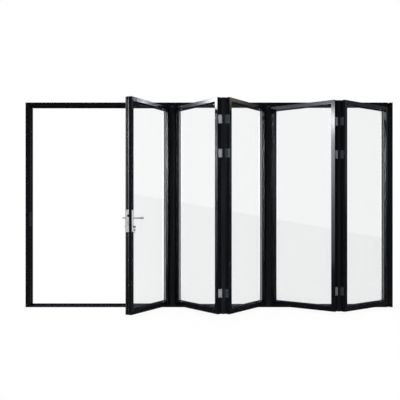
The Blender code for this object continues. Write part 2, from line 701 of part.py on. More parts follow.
def build_lock(matrix):
    spindle_z = leaf_z(SPINDLE_HEIGHT)
    cylinder_z = leaf_z(CYLINDER_HEIGHT)
    stile = bpy.data.objects["leaf_1_left_stile"]
    for z, radius in ((spindle_z, SPINDLE_BORE), (cylinder_z, CYLINDER_BORE)):
        bore = rod("bore", (LOCK_AXIS, -CUT_OVER, z), (LOCK_AXIS, LEAF_THICKNESS + CUT_OVER, z),
                   radius, None, BORE_SIDES, cutters)
        cut_local(stile, bore)
    plate_mid = leaf_z(PLATE_TOP) - FACEPLATE_HEIGHT / 2
    plate_half = FACEPLATE_HEIGHT / 2
    pocket_half = FACEPLATE_WIDTH / 2 + SEAT_GAP
    pocket = box("pocket", (-CUT_OVER, FACEPLATE_CENTRE - pocket_half, plate_mid - plate_half - SEAT_GAP),
                 (STRIP_POCKET, FACEPLATE_CENTRE + pocket_half, plate_mid + plate_half + SEAT_GAP),
                 None, cutters)
    cut_local(stile, pocket)

    # Full-height faceplate strip, with the wide plate, latch and bolt of the lock
    strip = box("lock_faceplate", (0, STRIP_CENTRE - STRIP_WIDTH / 2, STRIP_END),
                (STRIP_THICKNESS, STRIP_CENTRE + STRIP_WIDTH / 2, LEAF_HEIGHT - STRIP_END), STEEL)
    wide_front = FACEPLATE_CENTRE - FACEPLATE_WIDTH / 2
    wide_back = FACEPLATE_CENTRE + FACEPLATE_WIDTH / 2
    fuse(strip, box("wide", (0, wide_front, plate_mid - plate_half),
                    (STRIP_THICKNESS, wide_back, plate_mid + plate_half), STEEL))
    for name, height, size, width, reach in (
            ("latch", LATCH_Z, LATCH_HEIGHT, LATCH_WIDTH, LATCH_REACH),
            ("bolt", BOLT_Z, BOLT_HEIGHT, BOLT_WIDTH, BOLT_REACH)):
        fuse(strip, box(name, (-reach, LOCK_BOLT_CENTRE - width / 2, leaf_z(height) - size / 2),
                        (STRIP_THICKNESS / 2, LOCK_BOLT_CENTRE + width / 2, leaf_z(height) + size / 2),
                        STEEL))
    strip.matrix_world = matrix

    # Backplates on both faces
    for name, face, way in (("outside_backplate", 0.0, -1), ("inside_backplate", LEAF_THICKNESS, 1)):
        build_backplate(name, face, way, spindle_z, cylinder_z, matrix)

    # Lock cylinder through the leaf, and the key in its outer end
    front = -PLATE_THICKNESS - CYLINDER_PROUD
    back = LEAF_THICKNESS + PLATE_THICKNESS + CYLINDER_PROUD
    cylinder = rod("lock_cylinder", (LOCK_AXIS, front, cylinder_z), (LOCK_AXIS, back, cylinder_z),
                   CYLINDER_RADIUS, STEEL, BORE_SIDES)
    turn_half = THUMB_TURN_THICKNESS / 2
    fuse(cylinder, box("thumb_turn",
                       (LOCK_AXIS - turn_half, back - SEAT_GAP, cylinder_z - THUMB_TURN_HEIGHT / 2),
                       (LOCK_AXIS + turn_half, back + THUMB_TURN_REACH, cylinder_z + THUMB_TURN_HEIGHT / 2),
                       STEEL))
    cylinder.matrix_world = matrix
    build_keys(matrix, front - SEAT_GAP, cylinder_z)
    build_lever(matrix, spindle_z)


def build_keys(matrix, front, z):
    """Key in the cylinder, and a spare key that hangs from its bow on a wire ring."""
    bow_y = front - KEY_SHANK
    half_bow = KEY_BOW_THICKNESS / 2
    half_blade = KEY_BLADE_THICKNESS / 2
    hole_z = z - KEY_BOW_RADIUS + KEY_RIM + KEY_HOLE_RADIUS
    key = rod("key", (LOCK_AXIS - half_bow, bow_y, z), (LOCK_AXIS + half_bow, bow_y, z),
              KEY_BOW_RADIUS, STEEL, BOW_SIDES)
    fuse(key, box("shank", (LOCK_AXIS - half_blade, bow_y, z - KEY_BLADE_HEIGHT / 2),
                  (LOCK_AXIS + half_blade, front, z + KEY_BLADE_HEIGHT / 2), STEEL))
    cut(key, rod("hole", (LOCK_AXIS - CUT_OVER, bow_y, hole_z), (LOCK_AXIS + CUT_OVER, bow_y, hole_z),
                 KEY_HOLE_RADIUS, None, PIN_SIDES, cutters))
    key.matrix_world = matrix

    play = KEY_HOLE_RADIUS - KEY_RING_WIRE - SEAT_GAP
    ring_z = hole_z - play - KEY_RING_RADIUS
    bpy.ops.mesh.primitive_torus_add(major_segments=BORE_SIDES, minor_segments=RING_SIDES,
                                     major_radius=KEY_RING_RADIUS,
                                     minor_radius=KEY_RING_WIRE, rotation=(pi / 2, 0, 0))
    ring = bpy.context.object
    ring.name = "key_ring"
    ring.data.transform(ring.matrix_world)
    for holder in list(ring.users_collection):
        holder.objects.unlink(ring)
    parts.objects.link(ring)
    ring.data.materials.append(STEEL)
    ring.matrix_world = matrix @ Matrix.Translation((LOCK_AXIS, bow_y, ring_z))

    spare_hole_z = ring_z - KEY_RING_RADIUS - play
    spare_bow_z = spare_hole_z + KEY_RIM + KEY_HOLE_RADIUS - SPARE_BOW_RADIUS
    spare_tip_z = spare_bow_z - SPARE_BOW_RADIUS - SPARE_BLADE_LENGTH
    half_bow = KEY_BLADE_THICKNESS / 2
    half_blade = SPARE_BLADE_THICKNESS / 2
    spare = rod("spare_key", (LOCK_AXIS - half_bow, bow_y, spare_bow_z),
                (LOCK_AXIS + half_bow, bow_y, spare_bow_z), SPARE_BOW_RADIUS, STEEL, BOW_SIDES)
    fuse(spare, box("blade", (LOCK_AXIS - half_blade, bow_y - SPARE_BLADE_WIDTH / 2, spare_tip_z),
                    (LOCK_AXIS + half_blade, bow_y + SPARE_BLADE_WIDTH / 2, spare_bow_z), STEEL))
    cut(spare, rod("hole", (LOCK_AXIS - CUT_OVER, bow_y, spare_hole_z),
                   (LOCK_AXIS + CUT_OVER, bow_y, spare_hole_z), KEY_HOLE_RADIUS, None, PIN_SIDES, cutters))
    for notch in range(SPARE_NOTCHES):
        notch_z = spare_tip_z + SPARE_NOTCH_PITCH * (notch + 1)
        notch_y = bow_y - SPARE_BLADE_WIDTH / 2
        cut(spare, rod("notch", (LOCK_AXIS - CUT_OVER, notch_y, notch_z),
                       (LOCK_AXIS + CUT_OVER, notch_y, notch_z), SPARE_NOTCH, None, NOTCH_SIDES, cutters))
    spare.matrix_world = matrix


def cut_local(obj, cutter):
    """Cut an object whose mesh is in leaf axes by a cutter in the same axes."""
    place = obj.matrix_world.copy()
    obj.matrix_world = Matrix.Identity(4)
    cut(obj, cutter)
    obj.matrix_world = place


def build_backplate(name, face, way, spindle_z, cylinder_z, matrix):
    half = PLATE_WIDTH / 2
    low = leaf_z(PLATE_TOP - PLATE_HEIGHT)
    high = leaf_z(PLATE_TOP)
    outline = rounded([(LOCK_AXIS - half, low), (LOCK_AXIS + half, low),
                       (LOCK_AXIS + half, high), (LOCK_AXIS - half, high)], (0, 1, 2, 3), PLATE_CORNER, 4)
    plate = extruded(name, outline, PLATE_THICKNESS, SILVER)
    start = face + way * SEAT_GAP
    if way < 0:
        start -= PLATE_THICKNESS
    transformed(plate, Matrix(((1, 0, 0, 0), (0, 0, 1, start), (0, 1, 0, 0), (0, 0, 0, 1))))
    for z, bore in ((spindle_z, NECK_RADIUS + NECK_CLEARANCE), (cylinder_z, CYLINDER_RADIUS + SEAT_GAP)):
        cut(plate, rod("bore", (LOCK_AXIS, start - CUT_OVER, z),
                       (LOCK_AXIS, start + PLATE_THICKNESS + CUT_OVER, z), bore, None, BORE_SIDES, cutters))
    plate.matrix_world = matrix
    return plate


def lever_route():
    """Half of the lever from the middle of the spindle to its tip, with a radius at each point."""
    face = LEAF_THICKNESS / 2
    neck_end = face + PLATE_THICKNESS + NECK_LENGTH
    arm = face + LEVER_REACH
    route = [(0.0, face + NECK_STEP, SPINDLE_RADIUS), (0.0, face + 2 * NECK_STEP, NECK_RADIUS),
             (0.0, neck_end, NECK_RADIUS), (0.0, neck_end + NECK_STEP, ARM_RADIUS)]
    steps = 6
    for step in range(steps + 1):
        turn = step / steps * pi / 2
        route.append((LEVER_BEND * (1 - cos(turn)), arm - LEVER_BEND * (1 - sin(turn)), ARM_RADIUS))
    for step in range(1, steps):
        reach = LEVER_BEND + (LEVER_LENGTH - GRIP_TIP_LENGTH - LEVER_BEND) * step / steps
        route.append((reach, arm, ARM_RADIUS + (GRIP_RADIUS - ARM_RADIUS) * step / steps))
    route.append((LEVER_LENGTH - GRIP_TIP_LENGTH, arm, GRIP_RADIUS))
    route.append((LEVER_LENGTH, arm, GRIP_TIP_RADIUS))
    return route


def build_lever(matrix, spindle_z):
    """Both lever handles and their spindle, which turn as one."""
    half = lever_route()
    places = [(u, -y, r) for u, y, r in reversed(half)] + half
    curve = bpy.data.curves.new("lever_line", "CURVE")
    curve.dimensions = "3D"
    curve.bevel_depth = 1.0
    curve.bevel_resolution = 3
    curve.use_fill_caps = True
    spline = curve.splines.new("POLY")
    spline.points.add(len(places) - 1)
    for point, (u, y, radius) in zip(spline.points, places):
        point.co = (u, y, 0.0, 1.0)
        point.radius = radius
    mesh = curve_mesh("lever_handle", curve)

    # The grip grows flatter and taller from the bend to the tip
    arm = LEAF_THICKNESS / 2 + LEVER_REACH
    for vertex in mesh.vertices:
        share = max(0.0, min(1.0, (vertex.co.x - LEVER_BEND) / (LEVER_LENGTH - LEVER_BEND)))
        flat = 1 - share * (1 - GRIP_FLATNESS)
        side = arm if vertex.co.y > 0 else -arm
        vertex.co.y = side + (vertex.co.y - side) * flat
        vertex.co.z /= flat
    lever = add_object("lever_handle", mesh, SILVER)
    lever.matrix_world = matrix @ Matrix.Translation((LOCK_AXIS, LEAF_THICKNESS / 2, spindle_z))
    return lever


# Assembly, from the right jamb to the leading leaf
JAMB_PIN = Vector((OPENING_HALF + JAMB_PIN_INSET, PIN_Y, 0))
pin_5_near = near_pin(JAMB_PIN, JAMB_ANGLE, 1)
pin_4_near = pin_5_near - Vector((NEAR_PIN_SPACING, 0, 0))
FOLD_4_5 = 2 * (JAMB_PIN.x - pin_5_near.x) + NEAR_PIN_SPACING
back_2_right = Vector((JAMB_PIN.x - FOLD_4_5, PIN_Y, 0))
back_2_left = back_2_right - Vector((BACK_PIN_SPACING, 0, 0))
pin_3_near = near_pin(back_2_left, MIDDLE_ANGLE, 1)
pin_2_near = pin_3_near - Vector((NEAR_PIN_SPACING, 0, 0))
FOLD_2_3 = 2 * (back_2_left.x - pin_3_near.x) + NEAR_PIN_SPACING
back_1_right = Vector((back_2_left.x - FOLD_2_3, PIN_Y, 0))
back_1_left = back_1_right - Vector((BACK_PIN_SPACING, 0, 0))

build_head()
build_sill()
build_left_jamb()
build_strike_plate()
build_right_jamb()
lead_matrix = build_leaf(1, back_1_left, LEAD_ANGLE, 1, "lead", "back")
build_leaf(2, back_1_right, MIDDLE_ANGLE, -1, "back", "near")
build_leaf(3, back_2_left, MIDDLE_ANGLE, 1, "near", "back")
build_leaf(4, back_2_right, JAMB_ANGLE, -1, "back", "near")
build_leaf(5, JAMB_PIN, JAMB_ANGLE, 1, "near", "jamb")
build_back_post("back_post_1_2", (back_1_left.x + back_1_right.x) / 2, LEAD_ANGLE, MIDDLE_ANGLE)
build_back_post("back_post_3_4", (back_2_left.x + back_2_right.x) / 2, MIDDLE_ANGLE, JAMB_ANGLE)
build_near_post("near_post_2_3", pin_2_near)
build_near_post("near_post_4_5", pin_4_near)
for joint, left_pin, fold in (("2_3", pin_2_near, MIDDLE_ANGLE), ("4_5", pin_4_near, JAMB_ANGLE)):
    for place, hinge_level in zip(("top", "middle", "bottom"), HINGE_LEVELS):
        build_near_hinge(f"{place}_hinge_{joint}", left_pin, fold, hinge_level)
build_carriage("top_carriage_1_2", (back_1_left.x + back_1_right.x) / 2)
build_carriage("top_carriage_3_4", (back_2_left.x + back_2_right.x) / 2)
build_lock(lead_matrix)
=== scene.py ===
from math import pi, radians

import bmesh
import bpy
from bpy.props import FloatProperty, FloatVectorProperty, PointerProperty
from bpy.types import Operator, Panel, PropertyGroup
from mathutils import Matrix, Vector


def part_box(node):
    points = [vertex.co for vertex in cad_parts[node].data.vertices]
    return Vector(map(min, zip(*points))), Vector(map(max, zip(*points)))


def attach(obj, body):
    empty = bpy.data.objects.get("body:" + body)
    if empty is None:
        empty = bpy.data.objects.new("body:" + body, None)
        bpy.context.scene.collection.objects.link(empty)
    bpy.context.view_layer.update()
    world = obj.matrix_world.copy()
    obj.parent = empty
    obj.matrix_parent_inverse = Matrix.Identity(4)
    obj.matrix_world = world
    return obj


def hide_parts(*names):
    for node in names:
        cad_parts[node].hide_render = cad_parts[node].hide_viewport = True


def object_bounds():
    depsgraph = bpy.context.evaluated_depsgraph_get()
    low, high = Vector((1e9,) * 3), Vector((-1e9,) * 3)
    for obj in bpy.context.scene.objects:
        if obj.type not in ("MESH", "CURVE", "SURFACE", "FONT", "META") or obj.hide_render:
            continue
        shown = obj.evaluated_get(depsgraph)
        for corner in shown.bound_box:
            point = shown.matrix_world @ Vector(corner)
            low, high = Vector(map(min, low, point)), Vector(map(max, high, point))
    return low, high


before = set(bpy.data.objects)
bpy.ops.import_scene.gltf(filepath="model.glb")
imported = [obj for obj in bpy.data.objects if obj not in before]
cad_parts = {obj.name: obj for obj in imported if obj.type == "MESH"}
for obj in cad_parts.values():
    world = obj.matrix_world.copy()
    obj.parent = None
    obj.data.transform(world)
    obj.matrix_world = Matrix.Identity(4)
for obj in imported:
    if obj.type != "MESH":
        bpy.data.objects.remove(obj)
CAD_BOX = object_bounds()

bl_info = {
    "name": "Bifold patio door finish",
    "version": (1, 0, 0),
    "blender": (4, 5, 0),
    "location": "3D View > Sidebar > Patio Door",
    "description": "Glazing, seals, fixings, finishes and studio of a five-leaf bifold patio door",
    "category": "Object",
}

LEAVES = (1, 2, 3, 4, 5)
LEAF_BARS = ("left_stile", "right_stile", "top_rail", "bottom_rail")
FRAME_NODES = ("head_outer_profile", "head_inner_profile", "head_web", "outer_running_rail",
               "inner_running_rail", "left_jamb", "right_jamb")
DULL_NODES = ("back_post_1_2", "back_post_3_4", "near_post_4_5", "leaf_1_left_stile")
# Painted light: this post gets a lighter copy of the post coat
LIT_POST = "near_post_2_3"
CARRIAGES = ("top_carriage_1_2", "top_carriage_3_4")
HINGE_LEVELS = ("top", "middle", "bottom")
FOLDS = (("2_3", 2, 3), ("4_5", 4, 5))
BLACK_SPACERS = (4,)
BACK_FOLDS = ((1, "back_post_1_2"), (3, "back_post_3_4"))
BODY = "door"

# Set distances in metres. Seals and screws on an edge are placed from the leaf's outside face.
PANE_GAP = 0.0001
SEAL_GAP = 0.0002
POST_SEAL_GAP = 0.0003
SEAL_END = 0.004
LEADING_SEAL = (0.0016, 0.0130)
LEADING_SEALS_END = 0.0550
STRIP_WIDTH = 0.013
FOLD_SEALS = ((0.0016, 0.0205), (0.0208, 0.0400))
HINGE_CLEARANCE = 0.001
JAMB_SEAL_DEPTH = 0.0165
JAMB_SEAL_WIDTH = 0.006
FRAME_SEAL_WIDTH = 0.007
FRAME_SEAL_STOP = -0.46
LEDGE_DEPTH = 0.0008
HINGE_PLATE = 0.0033
HINGE_SCREW_ROWS = (0.0195, 0.0345)
HINGE_SCREW_RISE = 0.029
STRIP_SCREW_ROW = 0.035
PLATE_SCREW_ROW = 0.048
LOCK_PLATE_MARGIN = 0.004
LATCH_DEPTH = (0.010, 0.044)
LATCH_RISE = (0.012, 0.034)
COLOUR_EDGE = 0.0006
NECK_RADIUS = 0.0100
CYLINDER_RADIUS = 0.0088
COLLAR_STEPS = 24

# Painted reflection: the glass turns greyer below a line that slopes along x and y
REFLECTION_LINE = (1.0985, 1.0585)
REFLECTION_SLOPE_X = 0.1765
REFLECTION_SLOPE_Y = -0.0114

# What the gloss coat mirrors: degrees round from +Y towards +X, and degrees up.
# Lists hold (angle, level) pairs, and windows hold (low, high, soft) round and up, then the strength.
LEFT_UP = [(-8.0, 0.05), (-4.6, 0.11), (0.5, 0.35), (5.5, 1.0), (7.4, 0.72), (10.0, 0.20), (26.0, 0.10)]
LEFT_ROUND = [(-127.0, 0.0), (-123.0, 1.0), (-117.0, 0.85), (-113.5, 0.55), (-110.0, 0.8),
              (-104.0, 1.0), (-92.0, 1.0), (-84.0, 0.5), (-75.0, 0.53), (-73.2, 0.42),
              (-71.6, 0.10), (-68.0, 0.0)]
TALL_WINDOW = ((-118.2, -117.0, 0.2), (7.0, 8.9, 0.3), 40.0)
CORNER_WINDOW = ((-76.5, -73.7, 0.4), (9.4, 10.6, 0.3), 31.0)
FAR_WINDOW = ((61.6, 62.0, 0.15), (9.45, 10.3, 0.3), 44.0)
WARM_SHELF = ((66.9, 69.5, 0.4), (9.9, 12.0, 0.4), 1.0)
SHELF_STRENGTH = 1.7
RIGHT_ROUND = (56.0, 126.0, 4.0)
FRONT_UP = (1.5, 6.5, 2.0)


# Sizes and colours that a user would change
class PaintSettings(PropertyGroup):
    colour: FloatVectorProperty(name="Paint", description="Colour of the gloss black coating",
                                subtype="COLOR", default=(0.0026, 0.0031, 0.0046), min=0, max=1)
    faded: FloatVectorProperty(name="Faded paint", description="Colour where the coating is dulled",
                               subtype="COLOR", default=(0.0052, 0.0058, 0.0074), min=0, max=1)
    leaf_roughness: FloatProperty(name="Leaf roughness", description="Roughness of the leaves' coating",
                                  default=0.085, min=0, max=1)
    post_roughness: FloatProperty(name="Post roughness", description="Roughness of the posts' coating",
                                  default=0.305, min=0, max=1)
    frame_roughness: FloatProperty(name="Frame roughness", description="Roughness of the frame's coating",
                                   default=0.24, min=0, max=1)
    peel: FloatProperty(name="Orange peel", description="Height of the coating's fine ripple",
                        default=0.000012, unit="LENGTH")


class GlazingSettings(PropertyGroup):
    pane: FloatProperty(name="Pane", description="Thickness of each pane", default=0.004, unit="LENGTH")
    arris: FloatProperty(name="Arris", description="Ground edge of a pane", default=0.0005, unit="LENGTH")
    spacer_width: FloatProperty(name="Spacer width", description="Width of the bar between the panes",
                                default=0.0080, unit="LENGTH")
    spacer_inset: FloatProperty(name="Spacer inset", description="Spacer's distance from the panes' edge",
                                default=0.0030, unit="LENGTH")
    gasket_width: FloatProperty(name="Gasket width", description="Rubber that shows on the glass",
                                default=0.0014, unit="LENGTH")
    gasket_depth: FloatProperty(name="Gasket depth", description="Height of the rubber above the glass",
                                default=0.0030, unit="LENGTH")
    top_lip: FloatProperty(name="Top lip", description="Drip lip of the rubber under the top rail",
                           default=0.0040, unit="LENGTH")
    foot_lip: FloatProperty(name="Foot lip", description="Lip of the rubber over the bottom rail",
                            default=0.0020, unit="LENGTH")
    bead_width: FloatProperty(name="Bead width", description="Snap-in bead on the inside face",
                              default=0.0165, unit="LENGTH")
    bead_height: FloatProperty(name="Bead height", description="How far the bead stands proud",
                               default=0.0014, unit="LENGTH")
    tint: FloatVectorProperty(name="Tint", description="Light that one glass surface lets through",
                              subtype="COLOR", default=(0.988, 0.989, 0.990), min=0, max=1)
    mirror: FloatProperty(name="Mirror", description="Share of the plain glass reflection that shows",
                          default=0.006, min=0, max=1)
    # Painted reflection: film is how much greyer the glass is below the sloping line
    film: FloatProperty(name="Film", description="Dust film on the lower part of the glass",
                        default=0.024, min=0, max=1)
    lining: FloatProperty(name="Lining", description="Thickness of the light bead behind the glass",
                          default=0.0011, unit="LENGTH")


class HardwareSettings(PropertyGroup):
    screw_radius: FloatProperty(name="Screw head", description="Radius of a countersunk screw head",
                                default=0.0032, unit="LENGTH")
    screw_proud: FloatProperty(name="Screw height", description="How far a head stands above its plate",
                               default=0.0005, unit="LENGTH")
    collar_width: FloatProperty(name="Collar width", description="Ring round the neck and the cylinder",
                                default=0.0028, unit="LENGTH")
    collar_height: FloatProperty(name="Collar height", description="Height of that ring",
                                 default=0.0022, unit="LENGTH")
    seal_height: FloatProperty(name="Seal height", description="Height of the weather seals",
                               default=0.0022, unit="LENGTH")
    apron: FloatProperty(name="Apron", description="Half the width of the rubber behind a post",
                         default=0.042, unit="LENGTH")
    frame_seal: FloatProperty(name="Frame seal height", description="Height of the seals on the frame",
                              default=0.0055, unit="LENGTH")


class StageSettings(PropertyGroup):
    floor_margin: FloatProperty(name="Floor margin", description="Floor beyond the door on each side",
                                default=2.5, unit="LENGTH")
    lamp: FloatProperty(name="Side light", description="Radiance of the tall soft light on the left",
                        default=7.5, min=0)
    fill: FloatProperty(name="Fill", description="Even light on matt surfaces", default=1.1, min=0)
    floor_glow: FloatProperty(name="Floor white", description="Part of its white that takes no shadow",
                              default=0.925, min=0, max=1)
    lens: FloatProperty(name="Lens", description="Focal length on a 36 mm sensor", default=55.81, min=10)
    camera: FloatVectorProperty(name="Camera", description="Place of the camera", subtype="TRANSLATION",
                                default=(-0.2156, -6.730, 1.0398))
    shift: FloatVectorProperty(name="Shift", description="Lens shift across and up", size=2,
                               default=(0.0272, 0.0269))


# Shader maths
class Value:
    """An output socket. The arithmetic signs add Math nodes to its tree."""

    def __init__(self, tree, socket):
        self.tree, self.socket = tree, socket

    def math(self, operation, *others, swapped=False):
        sides = (*others, self) if swapped else (self, *others)
        return self.tree.node("Math", {"operation": operation}, dict(enumerate(sides)))

    def __add__(self, other):
        return self.math("ADD", other)

    def __radd__(self, other):
        return self.math("ADD", other, swapped=True)

    def __sub__(self, other):
        return self.math("SUBTRACT", other)

    def __rsub__(self, other):
        return self.math("SUBTRACT", other, swapped=True)

    def __mul__(self, other):
        return self.math("MULTIPLY", other)

    def __rmul__(self, other):
        return self.math("MULTIPLY", other, swapped=True)

    def __truediv__(self, other):
        return self.math("DIVIDE", other)

    def __rtruediv__(self, other):
        return self.math("DIVIDE", other, swapped=True)

    def most(self, other):
        return self.math("MAXIMUM", other)

    def rise(self, low, high):
        """Soft step from 0 at low to 1 at high, or down where low is the larger."""
        settings = {"interpolation_type": "SMOOTHSTEP", "clamp": True}
        if low > high:
            return 1 - self.rise(high, low)
        return self.tree.node("MapRange", settings, {0: self, 1: low, 2: high, 3: 0.0, 4: 1.0})

    def level(self, stops):
        """Value read from straight lines between (value, level) pairs."""
        low, high = stops[0][0], stops[-1][0]
        top = max(level for _, level in stops)
        share = (self - low) / (high - low)
        places = [((value - low) / (high - low), level / top) for value, level in stops]
        return self.tree.node("ValToRGB", {"stops": places}, {0: share}) * top

    def band(self, low, high, soft):
        """1 between low and high, with soft edges."""
        return self.rise(low - soft, low + soft) * self.rise(high + soft, high - soft)


class Tree:
    """The nodes of one material or of the world."""

    def __init__(self, owner):
        owner.use_nodes = True
        self.nodes = owner.node_tree.nodes
        self.links = owner.node_tree.links
        self.nodes.clear()

    def feed(self, socket, value):
        if isinstance(value, Value):
            self.links.new(value.socket, socket)
        elif socket.type == "RGBA" and len(value) == 3:
            socket.default_value = (*value, 1.0)
        else:
            socket.default_value = value

    def axes(self, vector):
        """The three parts of a vector."""
        return [self.node("SeparateXYZ", None, {0: vector}, output=axis) for axis in "XYZ"]

    def spot(self):
        """Object coordinates as x, y and z."""
        return self.axes(self.node("TexCoord", output="Object"))

    def node(self, kind, settings=None, inputs=None, output=0):
        """Adds a node, sets its settings, then its sockets, and returns one of its outputs."""
        made = self.nodes.new("ShaderNode" + kind)
        for name, value in (settings or {}).items():
            if name == "stops":
                self.set_stops(made.color_ramp, value)
            else:
                setattr(made, name, value)
        for key, value in (inputs or {}).items():
            self.feed(made.inputs[key], value)
        return Value(self, made.outputs[output]) if made.outputs else made

    def set_stops(self, ramp, stops):
        while len(ramp.elements) < len(stops):
            ramp.elements.new(0.5)
        for element, (position, level) in zip(ramp.elements, stops):
            element.position = position
            element.color = (level, level, level, 1.0)

    def place(self, scale):
        """Object coordinates in metres, stretched by a scale."""
        coordinates = self.node("TexCoord", output="Object")
        return self.node("Mapping", {"vector_type": "POINT"}, {"Vector": coordinates, "Scale": scale})

    def noise(self, size, detail=3.0, roughness=0.5, stretch=(1, 1, 1)):
        """Noise from 0 to 1, with a grain size in metres."""
        return self.node("TexNoise", {"noise_dimensions": "3D"},
                         {"Vector": self.place(stretch), "Scale": 1 / size,
                          "Detail": detail, "Roughness": roughness})

    def mix(self, share, first, second):
        """Colour between two colours."""
        return self.node("Mix", {"data_type": "RGBA"}, {0: share, 6: first, 7: second}, output=2)

    def bump(self, height, distance, strength=1.0):
        return self.node("Bump", None, {"Height": height, "Distance": distance, "Strength": strength},
                         output="Normal")

    def principled(self, **inputs):
        return self.node("BsdfPrincipled", None, {name.replace("_", " "): value
                                                  for name, value in inputs.items()})

    def close(self, kind, surface):
        self.node("Output" + kind, None, {"Surface": surface})


# Finishes
def gloss_paint(name, roughness, light_scale=1.0):
    """Gloss black powder coating with a fine ripple, handling marks and dust; light_scale makes lighter and
    darker copies of it as painted light and shade.
    """
    paint = bpy.context.scene.door_paint
    mat = bpy.data.materials.new(name)
    tree = Tree(mat)
    cloud = tree.noise(0.35, 4.0, stretch=(1, 1, 0.45))
    dust = tree.noise(0.012, 6.0, 0.62)
    fleck = tree.noise(0.0016, 2.0)
    peel = tree.noise(0.0026, 2.0, 0.4)
    waviness = tree.noise(0.09, 1.0, stretch=(1, 1, 0.25))
    dulled = cloud.rise(0.48, 0.72) * 0.55 + dust.rise(0.56, 0.72) * 0.30
    # Painted light and shade: the colour is scaled by light_scale
    colour = tree.mix(dulled, tuple(light_scale * c for c in paint.colour), tuple(light_scale * c for c in paint.faded))
    flecked = tree.mix(fleck.rise(0.70, 0.76) * 0.35, colour, (0.012, 0.013, 0.016))
    gloss = roughness + dulled * 0.07 + (dust - 0.5) * 0.04
    ripple = tree.bump(peel, paint.peel)
    normal = tree.node("Bump", None, {"Height": waviness, "Distance": 0.0003, "Strength": 0.08,
                                      "Normal": ripple}, output="Normal")
    shader = tree.principled(Base_Color=flecked, Roughness=gloss, Normal=normal,
                             Specular_IOR_Level=0.5)
    tree.close("Material", shader)
    return mat


def rubber(name):
    """Matt black sealing rubber, chalky in places."""
    mat = bpy.data.materials.new(name)
    tree = Tree(mat)
    grain = tree.noise(0.0009, 3.0)
    bloom = tree.noise(0.05, 5.0, 0.6, stretch=(1, 1, 0.3))
    colour = tree.mix(bloom.rise(0.45, 0.75) * 0.6, (0.0045, 0.0050, 0.0062), (0.0100, 0.0105, 0.0120))
    shader = tree.principled(Base_Color=colour, Roughness=0.62 + grain * 0.22,
                             Normal=tree.bump(grain, 0.0002), Specular_IOR_Level=0.03)
    tree.close("Material", shader)
    return mat


def satin_metal(name, bright, worn, roughness, stretch, metallic=1.0):
    """Brushed plating: fine lines along one way, soft blotches and small scratches."""
    mat = bpy.data.materials.new(name)
    tree = Tree(mat)
    lines = tree.noise(0.0010, 4.0, 0.7, stretch)
    blotch = tree.noise(0.018, 5.0, 0.6)
    scratch = tree.noise(0.0022, 3.0, 0.75, (1, 1, 0.12))
    worn_share = blotch.rise(0.46, 0.66) * 0.6 + scratch.rise(0.66, 0.72) * 0.4
    colour = tree.mix(worn_share, bright, worn)
    shader = tree.principled(Base_Color=colour, Metallic=metallic,
                             Roughness=roughness + (lines - 0.5) * 0.16 + blotch * 0.06,
                             Normal=tree.bump(lines + scratch.rise(0.6, 0.75) * 0.4, 0.00004))
    tree.close("Material", shader)
    return mat


def hinge_finish(name, node, light_level):
    """Satin silver double hinge, dark on the half that meets the next leaf."""
    mat = bpy.data.materials.new(name)
    tree = Tree(mat)
    low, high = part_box(node)
    middle = (low.x + high.x) / 2
    across, _, _ = tree.spot()
    silver = across.rise(middle + 0.0035, middle + 0.0025)
    lines = tree.noise(0.0010, 4.0, 0.7, (1, 1, 0.06))
    blotch = tree.noise(0.012, 5.0, 0.6)
    # light_level scales the silver: below 1 it is painted shade
    bright = tree.mix(blotch.rise(0.45, 0.66), tuple(light_level * c for c in (0.78, 0.80, 0.85)),
                      tuple(light_level * c for c in (0.58, 0.60, 0.64)))
    dark_half = tree.mix(blotch, (0.026, 0.033, 0.043), (0.038, 0.048, 0.060))
    shader = tree.principled(Base_Color=tree.mix(silver, dark_half, bright), Metallic=silver * 0.70,
                             Roughness=0.42 + (lines - 0.5) * 0.14 + blotch * 0.06,
                             Specular_IOR_Level=0.05, Normal=tree.bump(lines, 0.00004))
    tree.close("Material", shader)
    return mat


def glowing_bead(name, bright, dull, through):
    """Matt vinyl with a little dust. It glows with painted light, an emission in its own colour, and is
    black along a leaf's rails as painted shade.
    """
    mat = bpy.data.materials.new(name)
    tree = Tree(mat)
    dust = tree.noise(0.020, 5.0, 0.6)
    grain = tree.noise(0.0008, 2.0)
    _, _, height = tree.spot()
    leaf = LeafSpace(1)
    foot = leaf.matrix.translation.z
    rail = 0.004
    # Painted shade: black within the rails' height and 4 mm beyond, so a spacer's level bars and a side
    # bead's ends are black
    upright = height.band(foot + leaf.sight_bottom + rail, foot + leaf.sight_top - rail, COLOUR_EDGE)
    colour = tree.mix(dust.rise(0.5, 0.8) * 0.5, bright, dull)
    colour = tree.mix(upright, (0.004, 0.004, 0.005), colour)
    # Painted light: through is the strength of a glow in the bead's own colour, though the bead is no lamp
    shader = tree.principled(Base_Color=colour, Roughness=0.55 + grain * 0.15,
                             Specular_IOR_Level=0.2, Normal=tree.bump(grain, 0.00003),
                             Emission_Color=colour, Emission_Strength=through)
    tree.close("Material", shader)
    return mat


